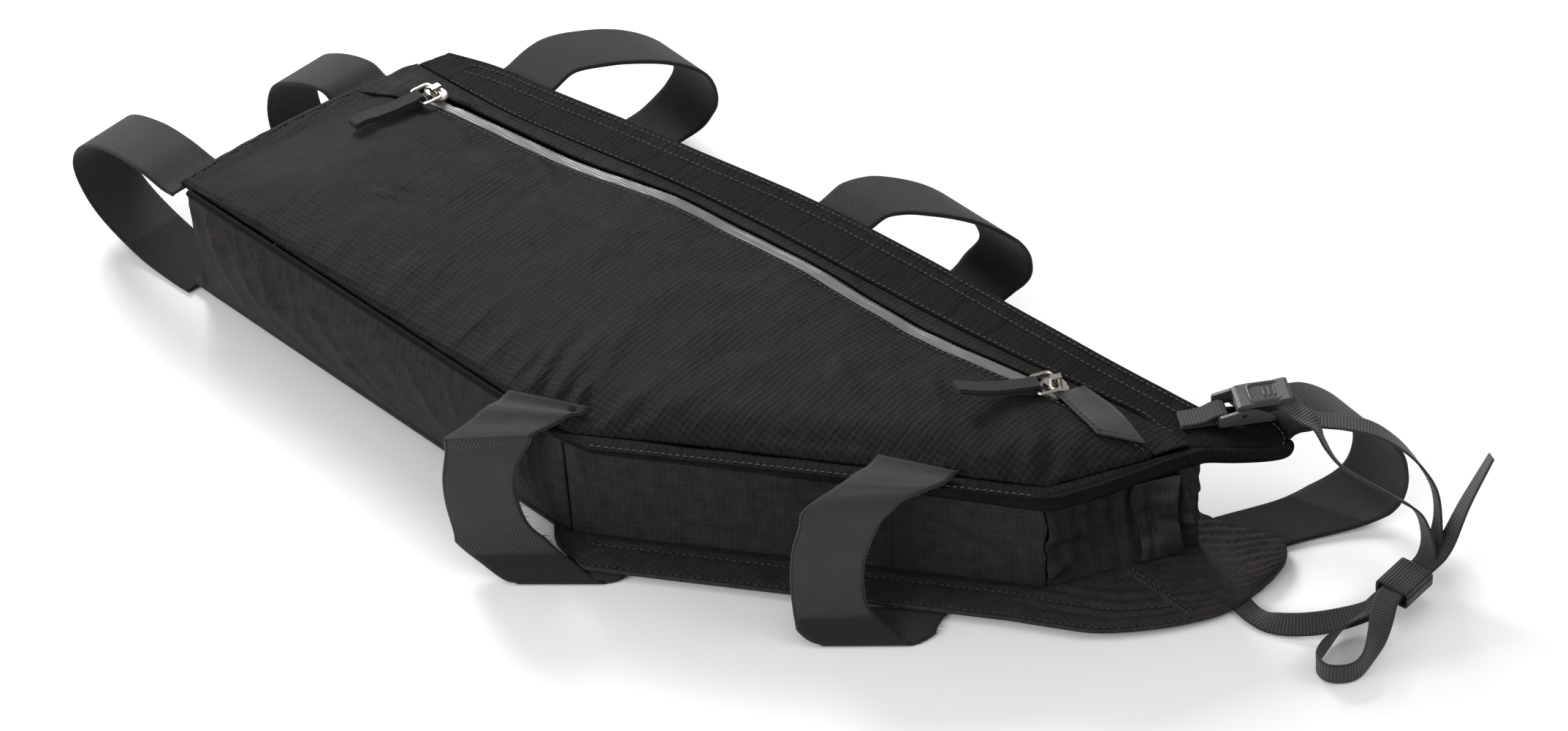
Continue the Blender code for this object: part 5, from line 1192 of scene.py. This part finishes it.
def ribbon(name, centres, widths, width, thickness, look, replaces, floor=None, columns=13):
    """A flat strap along a path; widths are the directions of its width at each point.

    A floor function gives the lowest height that its underside may have over plan points.
    With one, the widths stay as given and grow where the path runs aslant of them.
    """
    tangent = tangents(centres)
    face = unit_rows(np.cross(tangent, widths))
    if floor:
        aslant = np.sum(widths * tangent, 1)[:, None]
        widths = widths / np.maximum(np.sqrt(1 - aslant**2), 0.8)
    else:
        widths = np.cross(face, tangent)
    shares = np.linspace(-0.5, 0.5, columns)
    middle = centres[:, None] + shares[None, :, None] * widths[:, None] * width
    outer = middle + face[:, None] * thickness / 2
    inner = middle - face[:, None] * thickness / 2
    if floor:
        lift = np.zeros(len(centres))
        for line in (outer[:, 0], outer[:, -1], inner[:, 0], inner[:, -1], inner[:, columns // 2]):
            lift = np.maximum(lift, floor(line) - line[:, 2])
        kernel = np.hanning(7) / np.hanning(7).sum()
        lift = np.maximum(lift, np.convolve(np.pad(lift, 3, mode="edge"), kernel, mode="valid"))
        outer[:, :, 2] += lift[:, None]
        inner[:, :, 2] += lift[:, None]
    run = run_length(centres)
    uv = np.stack(np.meshgrid(run - run[-1], shares * width, indexing="ij"), 2)
    slab(name, outer, inner, uv, look, "strap_twill", replaces)
    return (outer + inner) / 2


def strap_frame(edge, at):
    """Anchor, outward and along directions of a strap's edge."""
    if edge == "seat":
        return seat_line(at)[0], np.array([SEAT_TANGENT[1], -SEAT_TANGENT[0]]), SEAT_TANGENT
    if edge == "down":
        outward = np.array([DOWN_TANGENT[1], -DOWN_TANGENT[0]])
        return CORNER_C + at * DOWN_LENGTH * DOWN_TANGENT, outward, DOWN_TANGENT
    anchor = spot_at(at * TOP_LENGTH, rim_y) if edge == "top" else tongue_spots((0.2, 1.15))[0]
    return anchor, np.array([0.0, 1.0]), np.array([1.0, 0.0])


def strap(end, edge, at, reach, tucked, rows):
    anchor, outward, along = strap_frame(edge, at)
    under = BAND_CLOTH if edge in ("top", "tip") else DOWN_FLANGE_THICK
    seat = BAG_DEPTH - under - GAP - STRAP_THICK / 2 if tucked else BAG_DEPTH + GAP + STRAP_THICK / 2
    stations = []
    for out, lean, height, turn in rows:
        spot = anchor + outward * out * reach + along * lean * STRAP_WIDTH
        stations.append([*spot, FLOOR_RUN + height * (seat - FLOOR_RUN), turn])
    path = smooth_path(stations, 120, bend=12.0)
    turn = np.radians(path[:, 3]) + math.atan2(along[1], along[0])
    widths = np.stack([np.cos(turn), np.sin(turn), np.zeros_like(turn)], 1)

    def clear_of(points):
        inside = np.minimum(*edge_distances(points[:, :2])[:2]) > -DOWN_FLANGE - 1.0
        on_top = inside & (points[:, 2] > 0.8 * BAG_DEPTH) & (not tucked)
        return np.where(on_top, upper_surface(points[:, :2]) + GAP, GAP)

    # Seat and top straps wear the darker copy of the twill, which is painted shade.
    look = TWILL if edge in ("down", "tip") else TWILL_PAINTED_SHADE
    middle = ribbon("loop_" + end, path[:, :3], widths, STRAP_WIDTH, STRAP_THICK, look, ["strap_" + end],
                    clear_of)
    if not tucked:
        frayed_ends("fray_" + end, middle)


def frayed_ends(name, middle):
    """Loose fibres at both cut ends of a strap and here and there along its front edge."""
    random = np.random.RandomState(FRAY_SEED)
    starts = []
    for end, inward, count in ((0, 1, 46), (-1, -2, 90)):
        way = middle[end] - middle[inward]
        for _ in range(count):
            share = random.uniform(0, middle.shape[1] - 1.001)
            k, t = int(share), share % 1
            starts.append((middle[end, k] * (1 - t) + middle[end, k + 1] * t, way[k]))
    for _ in range(60):
        row = random.randint(4, len(middle) - 4)
        starts.append((middle[row, -1], middle[row, -1] - middle[row, -2]))
    fibres = Tubes(4)
    for spot, way in starts:
        way = way / np.linalg.norm(way)
        curl = random.normal(0, 0.45, 3)
        length = random.uniform(0.5, 2.6)
        radius = random.uniform(0.06, 0.13)
        drop = random.uniform(-0.6, 0.6)
        rings = []
        for t in np.linspace(0, 1, 4):
            centre = spot - way * 0.4 + (way * t + curl * t**2) * length
            centre[2] = max(centre[2] - drop, GAP)
            thin = radius * (1.2 - 0.8 * t)
            rings.append((centre, [thin, 0.0, 0.0], [0.0, 0.7 * thin, thin], 3.0 * t, 1.0))
        fibres.add(rings)
    fibres.build(name, THREAD, "strap_twill")


def zip_garage():
    """Coated patch over the front end of the zipper, sewn down along its lower and front edges."""
    along = np.linspace(0, 1, 60)[:, None]
    low = GARAGE_REAR_LOW + along * (GARAGE_FRONT_LOW - GARAGE_REAR_LOW)
    high = GARAGE_REAR_HIGH + along * (GARAGE_FRONT_HIGH - GARAGE_REAR_HIGH)
    high[:, 1] += 1.6 * hump(along[:, 0]) ** 2
    across = np.linspace(0, 1, 34)
    grid = between(low, high, across)
    grid[:, :, 0] += 2.2 * hump(across)[None, :] * (1 - along) ** 6
    mouth = bell(across, 0.24, 0.60)[None, :] * (1 - along) ** 1.5
    lip = 0.55 * bell(1 - across, 0.07)[None, :] * hump(np.clip(along * 1.1, 0, 1))
    shaped = 1.1 * mouth + lip - 0.30 * bell(across, 0.05, 0.13)[None, :]
    upper_piece("garage", grid, CLOTH, GARAGE, "coated_cloth", ["zip_garage"], -(CLOTH + GAP), shaped)
    inward = np.array([0.6, 1.8])
    front = low[-1] + inward + np.linspace(0.05, 0.9, 12)[:, None] * (high[-1] - low[-1])
    front[:, 0] -= 2.6
    on_patch = panel_top(CLOTH + GAP - 0.15)
    return [("zipper", low + inward, on_patch), ("zipper", front, on_patch)]


def rear_patch():
    """Cloth over the rear end of the zipper, behind its slider."""
    along = np.linspace(0, 1, 40)[:, None]
    rear = seat_line(np.array([0.14, 0.345]), REAR_RIM - 0.6)
    front_high = spot_at(9.5, seam_y) - (0.0, 1.4)
    front_low = spot_at(8.0, zip_y) - (0.0, 8.5)
    low = rear[1] + along * (front_low - rear[1])
    high = rear[0] + along * (front_high - rear[0])
    across = np.linspace(0, 1, 30)
    grid = between(low, high, across)
    grid[:, :, 0] -= 1.2 * hump(across)[None, :] * along**4
    bump = 0.9 * bell(across, 0.2, 0.42)[None, :] * along**1.5
    settle = ease(along * 1.8) * ease((1 - across[None, :]) * 6.0)
    shaped = (bump + 0.21 * grid_noise(grid, 5.0, 81) + 1.0) * settle + 0.15
    upper_piece("patch_rear", grid, 0.9, RIPSTOP, "ripstop", shaped=shaped)


def front_roll():
    """Rolled rim of the front tongue, from the end of the front flange to the tongue's tip."""
    way = (CORNER_E - CORNER_D) / FRONT_LENGTH
    route = [CORNER_E - way * 6.0 + (1.0, -2.4), *tongue_spots((0.06, -0.02), (0.46, 0.27), (0.82, 0.55)),
             TONGUE_TIP + (-0.2, -1.6), TONGUE_TIP + (0.0, 2.0), TONGUE_TIP + (-2.2, 5.4)]
    chain = chain_of(smooth_path(route, 90))
    share = np.linspace(0, 1, len(chain["points"]))
    closing = np.sqrt(np.clip(1 - ((share - 0.90) / 0.10).clip(0, 1) ** 2, 0.02, 1))
    closing *= np.sqrt(np.clip(1 - ((0.03 - share) / 0.03).clip(0, 1) ** 2, 0.05, 1))
    half_height = (FRONT_RIM_THICK / 2) * (1 - 0.42 * share**2)
    half_width = 3.0 * (1 - 0.3 * share**2)
    rings = []
    for i, spot in enumerate(chain["points"]):
        out = chain["normals"][i] * half_width[i] * closing[i]
        rings.append(([*spot, BAG_DEPTH + 0.1 - half_height[i]], [*out, 0.0],
                      [0.0, 0.0, half_height[i] * closing[i]], chain["length"][i], 0.9))
    roll = Tubes(22, 0.8)
    roll.add(rings)
    roll.build("roll_front", BAND, "ripstop")


def port_flap():
    """Plain vertical strip over the hose port in the front wall, its left edge folded over."""
    columns, rows = 40, 90
    outer = np.zeros((columns, rows, 3))
    inner = np.zeros_like(outer)
    uv = np.zeros((columns, rows, 2))
    top = BAG_DEPTH - FRONT_RIM_THICK - GAP
    across = np.linspace(0, 1, columns)
    fold = 1.6 * bell(across, 0.10, 0.17) - 1.1 * bell(across, 0.07, 0.36)
    for j, share in enumerate(np.linspace(0.05, 0.95, rows)):
        z = WALL_LOW + (top - WALL_LOW) * share
        left = LENGTH_D + FRONT_LENGTH * (0.575 + 0.035 * math.sin(share * 5.2 + 0.4))
        right = LENGTH_D + FRONT_LENGTH * (0.855 + 0.022 * math.sin(share * 4.1 + 2.0))
        lengths = np.linspace(left, right, columns)
        crinkle = 0.72 * noise2(across * 16.0, np.full(columns, z), 6.0, 71)
        swing = 0.9 * math.sin(share * 9.0 + 1.0) * across
        out = front_pull(lengths, share) + GAP + 0.9 + (1.3 + crinkle + fold + swing) * hump(share)
        outer[:, j, :2], _ = on_chain(LOW_SIDE, lengths, out + CLOTH)
        inner[:, j, :2], _ = on_chain(LOW_SIDE, lengths, out)
        outer[:, j, 2] = inner[:, j, 2] = z
        uv[:, j] = np.stack([np.full(columns, z), lengths], 1)
    slab("flap_port", outer, inner, uv, FLAP, "coated_cloth", ["port_flap"])


def plan_box(node):
    """Low and high corners of a CAD node in the plan frame."""
    return [np.array(corner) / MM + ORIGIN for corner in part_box(node)]


def pull_tab(end, at, direction, length, lift):
    """A strip folded through a ring: two layers that meet."""
    low, high = plan_box("pull_ring_" + end)
    level_z = (low[2] + high[2]) / 2
    way = plan(1.0, direction)
    forward = np.array([*way, 0.0])
    sideways = np.array([-way[1], way[0], 0.0])
    start = np.array([*spot_at(at * TOP_LENGTH, zip_y), level_z]) + forward * PULL_WIDTH * 0.8
    length = length * PULL_WIDTH
    loop = RING_WIRE / 2 + 2 * GAP + PULL_THICK / 2
    layer = PULL_THICK / 2 + 0.15
    far = [(length * t, layer + (loop - layer) * math.exp(-9 * t)) for t in np.linspace(0.06, 1.0, 30)]
    fold = [(-loop * math.cos(angle), loop * math.sin(angle)) for angle in np.linspace(-1.3, 1.3, 15)]
    path = []
    for a, z in [(a, -z) for a, z in far[::-1]] + fold + far:
        share = max(a, 0.0) / length
        place = start + forward * a
        under = place[:2] + np.outer([-1, 0, 1], sideways[:2]) * PULL_WIDTH * 0.3
        rest = float(upper_surface(under).max()) + 4 * GAP + layer + PULL_THICK / 2
        settle = float(ease(share * (1.6 if rest < level_z else 4.0)))
        height = level_z + (rest - level_z) * settle + lift * PULL_WIDTH * share**2
        path.append([place[0], place[1], height + z])
    widths = np.tile(sideways, (len(path), 1))
    ribbon("tab_" + end, np.array(path), widths, PULL_WIDTH * 0.6, PULL_THICK, TAB, ["pull_tab_" + end])


BUCKLE_SPOT = tongue_spots((0.07, 1.01))[0]
BUCKLE_BASE = BAG_DEPTH + GAP + WEBBING_THICK + GAP
BUCKLE_ALONG = plan(1.0, BUCKLE_TURN)
BUCKLE_ACROSS = plan(1.0, BUCKLE_TURN + 90.0)
PIN_A = -0.09 * BUCKLE_LENGTH
REAR_A = -0.42 * BUCKLE_LENGTH
FRONT_A = 0.33 * BUCKLE_LENGTH
BAR_RADIUS = 1.4
REAR_BAR_Z = BUCKLE_BASE + BAR_RADIUS
FRONT_BAR_TOP = BUCKLE_BASE + 1.5
WRAP = PIN_RADIUS + GAP + WEBBING_THICK / 2
PIN_Z = FRONT_BAR_TOP + GAP + WEBBING_THICK / 2 + WRAP
LEVER_TOP = PIN_Z + WRAP + WEBBING_THICK / 2 + 2 * GAP + 2.2
LEVER_TIP = 0.70 * BUCKLE_LENGTH
LEVER_HALF = WEBBING_WIDTH / 2 + GAP - 0.1


def buckle_place(a, b, z):
    return np.array([*(BUCKLE_SPOT + BUCKLE_ALONG * a + BUCKLE_ACROSS * b), z])


def buckle_tab():
    """Webbing sewn on the front tongue that holds the buckle by its rear bar."""
    wrap = BAR_RADIUS + GAP + WEBBING_THICK / 2
    low = BAG_DEPTH + GAP + WEBBING_THICK / 2
    high = low + WEBBING_THICK + GAP
    run = 17.0
    route = [(REAR_A - t, low) for t in np.linspace(run, 3.0, 5)]
    route += [(REAR_A + wrap * math.cos(t), REAR_BAR_Z + wrap * math.sin(t))
              for t in np.linspace(-math.pi * 0.40, math.pi * 0.55, 9)]
    route += [(REAR_A - 3.4, REAR_BAR_Z + wrap * 0.72), (REAR_A - 7.0, low + WEBBING_THICK + 1.1),
              (REAR_A - 11.0, high), (REAR_A - run, high)]
    path = smooth_path([buckle_place(a, 0.0, z) for a, z in route], 90)
    widths = np.tile(np.array([*BUCKLE_ACROSS, 0.0]), (len(path), 1))
    ribbon("tab_buckle", path, widths, WEBBING_WIDTH, WEBBING_THICK, WEBBING, ["buckle_tab"])


def webbing_stations(rows):
    return [[TOP_LENGTH + x * WEBBING_REACH, y * WEBBING_REACH, height * BAG_DEPTH, turn, tilt]
            for x, y, height, turn, tilt in rows]


def adjuster_webbing():
    """One strand: tongue, keeper, round the buckle's pin, keeper, loop, keeper and tail."""
    ahead = [PIN_A + 1.0, PIN_A + 2.0, PIN_A + 4.0, PIN_A + 7.0, FRONT_A]
    strand = [(FRONT_A + 6.0, PIN_Z - WRAP - 0.3)]
    strand += [(a, PIN_Z - WRAP) for a in ahead[::-1]]
    strand += [(PIN_A - WRAP * math.sin(t), PIN_Z - WRAP * math.cos(t)) for t in np.linspace(0, math.pi, 7)]
    strand += [(a, PIN_Z + WRAP) for a in ahead]
    strand += [(FRONT_A + 6.0, PIN_Z + WRAP - 1.0)]
    inside = [[*buckle_place(a, 0.0, z), BUCKLE_TURN + 90.0, 0.0] for a, z in strand]
    stations = webbing_stations(ADJUSTER_UP) + inside + webbing_stations(ADJUSTER_DOWN)
    path = smooth_path(stations, 620, bend=24.0)
    turn, tilt = np.radians(path[:, 3:].T)
    widths = np.stack([np.cos(turn) * np.cos(tilt), np.sin(turn) * np.cos(tilt), np.sin(tilt)], 1)
    ribbon("webbing", path[:, :3], widths, WEBBING_WIDTH, WEBBING_THICK, WEBBING, ["adjuster_webbing"],
           columns=9)


def lever_rim():
    """Raised loop round the top of the lever, and grip ribs toward its tip."""
    front = LEVER_TIP - 3.4
    lines = [(rounded_box((PIN_A + 3.2, -LEVER_HALF), (front, LEVER_HALF), 2.2, 9), 0.75)]
    for k in range(3):
        across = np.linspace(2.4 - LEVER_HALF, LEVER_HALF - 2.4, 9)
        lines.append((np.array([[front - 2.6 - 2.2 * k, b] for b in across]), 0.5))
    wires = Tubes(10)
    for line, radius in lines:
        rings = []
        for i, ((a, b), way) in enumerate(zip(line, tangents(line))):
            drop = 0.9 * max(a - (LEVER_TIP - 6.0), 0.0) / 5.0
            right = (BUCKLE_ALONG * way[1] - BUCKLE_ACROSS * way[0]) * radius
            rings.append((buckle_place(a, b, LEVER_TOP - drop), [*right, 0.0], [0.0, 0.0, radius], i, 1.0))
        wires.add(rings)
    wires.build("lever_rim", PLASTIC, "buckle_plastic", body="lever")


def webbing_keeper():
    """Woven sleeve round the three layers of webbing, its ends lapped on the upper side."""
    low, high = plan_box("webbing_keeper")
    half = KEEPER_WALL / 2
    ring = rounded_box(low[[0, 2]] + half, high[[0, 2]] - half, 1.6, 8)
    path = smooth_path(np.insert(ring, 1, (low[1] + high[1]) / 2, axis=1), 96)
    path[:, 2] += 0.12 * np.sin(np.linspace(0, 1, len(path)) * 30)
    widths = np.tile([0.0, 1.0, 0.0], (len(path), 1))
    ribbon("keeper", path, widths, high[1] - low[1], KEEPER_WALL, WEBBING, ["webbing_keeper"])


def stitching(rows):
    """Short raised threads along each sewn row, as one piece for each part of the bag."""
    groups = {}
    for group, line, surface in rows:
        groups.setdefault(group, []).append((line, surface))
    for group, lines in groups.items():
        threads = Tubes(6)
        for line, surface in lines:
            run = run_length(line)
            for start in np.arange(STITCH_PITCH / 2, run[-1] - STITCH_PITCH / 2, STITCH_PITCH):
                at = start + STITCH_LENGTH * np.array([-0.5, -0.22, 0.22, 0.5])
                spots = at_lengths(at, run, line)
                heights = surface(spots) + STITCH_THICK * np.array([-0.35, 0.4, 0.4, -0.35])
                way = spots[-1] - spots[0]
                way /= np.linalg.norm(way)
                rings = []
                for place, spot, height, spread in zip(at, spots, heights, (0.55, 1.0, 1.0, 0.55)):
                    radius = STITCH_THICK / 2 * spread
                    side = [-way[1] * radius, way[0] * radius, 0.0]
                    rings.append(([*spot, height], side, [0.0, 0.0, radius], place, 0.25))
                threads.add(rings)
        threads.build("stitching_" + group, THREAD, "strap_twill")


sewn_rows = lower_panel()
bottom_gusset()
down_tube_wall()
front_wall()
seat_tube_wall()
top_tube_wall()
port_flap()
sewn_rows += side_panel()
zipper_tape()
zipper_coil()
zip_panel()
sewn_rows += top_band()
sewn_rows += down_flange()
sewn_rows += seat_flange()
piping()
sewn_rows += zip_garage()
rear_patch()
front_roll()
for end, pull in PULLS.items():
    pull_tab(end, *pull)
for end, loop in STRAPS.items():
    strap(end, *loop)
buckle_tab()
adjuster_webbing()
webbing_keeper()
lever_rim()
stitching(sewn_rows)


def dress_node(name, look, bevel_mm=0.0):
    """Give a CAD node that stays its material and softened edges."""
    item = NODES[name]
    item.data.materials.clear()
    item.data.materials.append(look)
    if bevel_mm:
        bevel = item.modifiers.new("soft_edges", "BEVEL")
        bevel.width = bevel_mm * MM
        bevel.segments = 2
        bevel.limit_method = "ANGLE"
        bevel.angle_limit = math.radians(35)


for end in PULLS:
    dress_node("zipper_slider_" + end, NICKEL, 0.25)
    dress_node("pull_ring_" + end, NICKEL)
dress_node("buckle_frame", PLASTIC, 0.35)
dress_node("buckle_lever", PLASTIC, 0.35)
dress_node("buckle_pin", NICKEL, 0.15)


def plain_floor():
    bpy.ops.mesh.primitive_plane_add(size=1.0)
    floor = bpy.context.object
    floor.name = "floor"
    floor.scale = (8.0, 8.0, 1.0)
    g = Graph("floor")
    grain = g.noise(g.solid_place(), 0.02, 3.0)
    floor.data.materials.append(g.finish(grain, (0.90, 0.90, 0.90), (0.93, 0.93, 0.93), 0.9,
                                         Specular_IOR_Level=0.1))


def area_light(name, spot, target, size, power):
    light = bpy.data.lights.new(name, "AREA")
    light.shape = "RECTANGLE"
    light.size, light.size_y = size
    light.energy = power
    item = bpy.data.objects.new(name, light)
    item.location = spot
    item.rotation_euler = (Vector(target) - Vector(spot)).to_track_quat("-Z", "Y").to_euler()
    bpy.context.scene.collection.objects.link(item)


def lights():
    world = bpy.data.worlds.new("studio")
    world.use_nodes = True
    background = world.node_tree.nodes["Background"]
    background.inputs["Color"].default_value = (1.0, 1.0, 1.0, 1.0)
    background.inputs["Strength"].default_value = 0.60
    bpy.context.scene.world = world
    area_light("key", (-1.6, 0.8, 1.15), (0.0, 0.0, 0.03), (0.8, 0.8), 46.0)
    area_light("fill", (1.3, 1.1, 1.3), (0.05, 0.0, 0.03), (1.0, 0.8), 7.0)
    area_light("front", (-0.3, -1.6, 0.8), (0.0, 0.0, 0.03), (1.5, 0.6), 19.0)


# The photo's camera, solved from the outlines of the bag
CAMERA_AZIMUTH = math.radians(43.6)
CAMERA_ELEVATION = math.radians(40.8)
CAMERA_ROLL = math.radians(-3.46)
CAMERA_DISTANCE = 1.903
CAMERA_TARGET = (0.019, 0.058, 0.0)
LENS_PIXELS = 6000.0
PHOTO_WIDTH = 2146.0


def camera():
    data = bpy.data.cameras.new("camera")
    data.sensor_width = 36.0
    data.sensor_fit = "HORIZONTAL"
    data.lens = LENS_PIXELS * data.sensor_width / PHOTO_WIDTH
    item = bpy.data.objects.new("camera", data)
    flat = math.cos(CAMERA_ELEVATION)
    back = Vector((math.sin(CAMERA_AZIMUTH) * flat, -math.cos(CAMERA_AZIMUTH) * flat,
                   math.sin(CAMERA_ELEVATION)))
    right = Vector((math.cos(CAMERA_AZIMUTH), math.sin(CAMERA_AZIMUTH), 0.0))
    up = back.cross(right)
    turned_right = math.cos(CAMERA_ROLL) * right + math.sin(CAMERA_ROLL) * up
    turned_up = -math.sin(CAMERA_ROLL) * right + math.cos(CAMERA_ROLL) * up
    matrix = Matrix((turned_right, turned_up, back)).transposed().to_4x4()
    matrix.translation = Vector(CAMERA_TARGET) + back * CAMERA_DISTANCE
    item.matrix_world = matrix
    bpy.context.scene.collection.objects.link(item)
    bpy.context.scene.camera = item


plain_floor()
lights()
camera()
bpy.context.scene.view_settings.view_transform = "Standard"
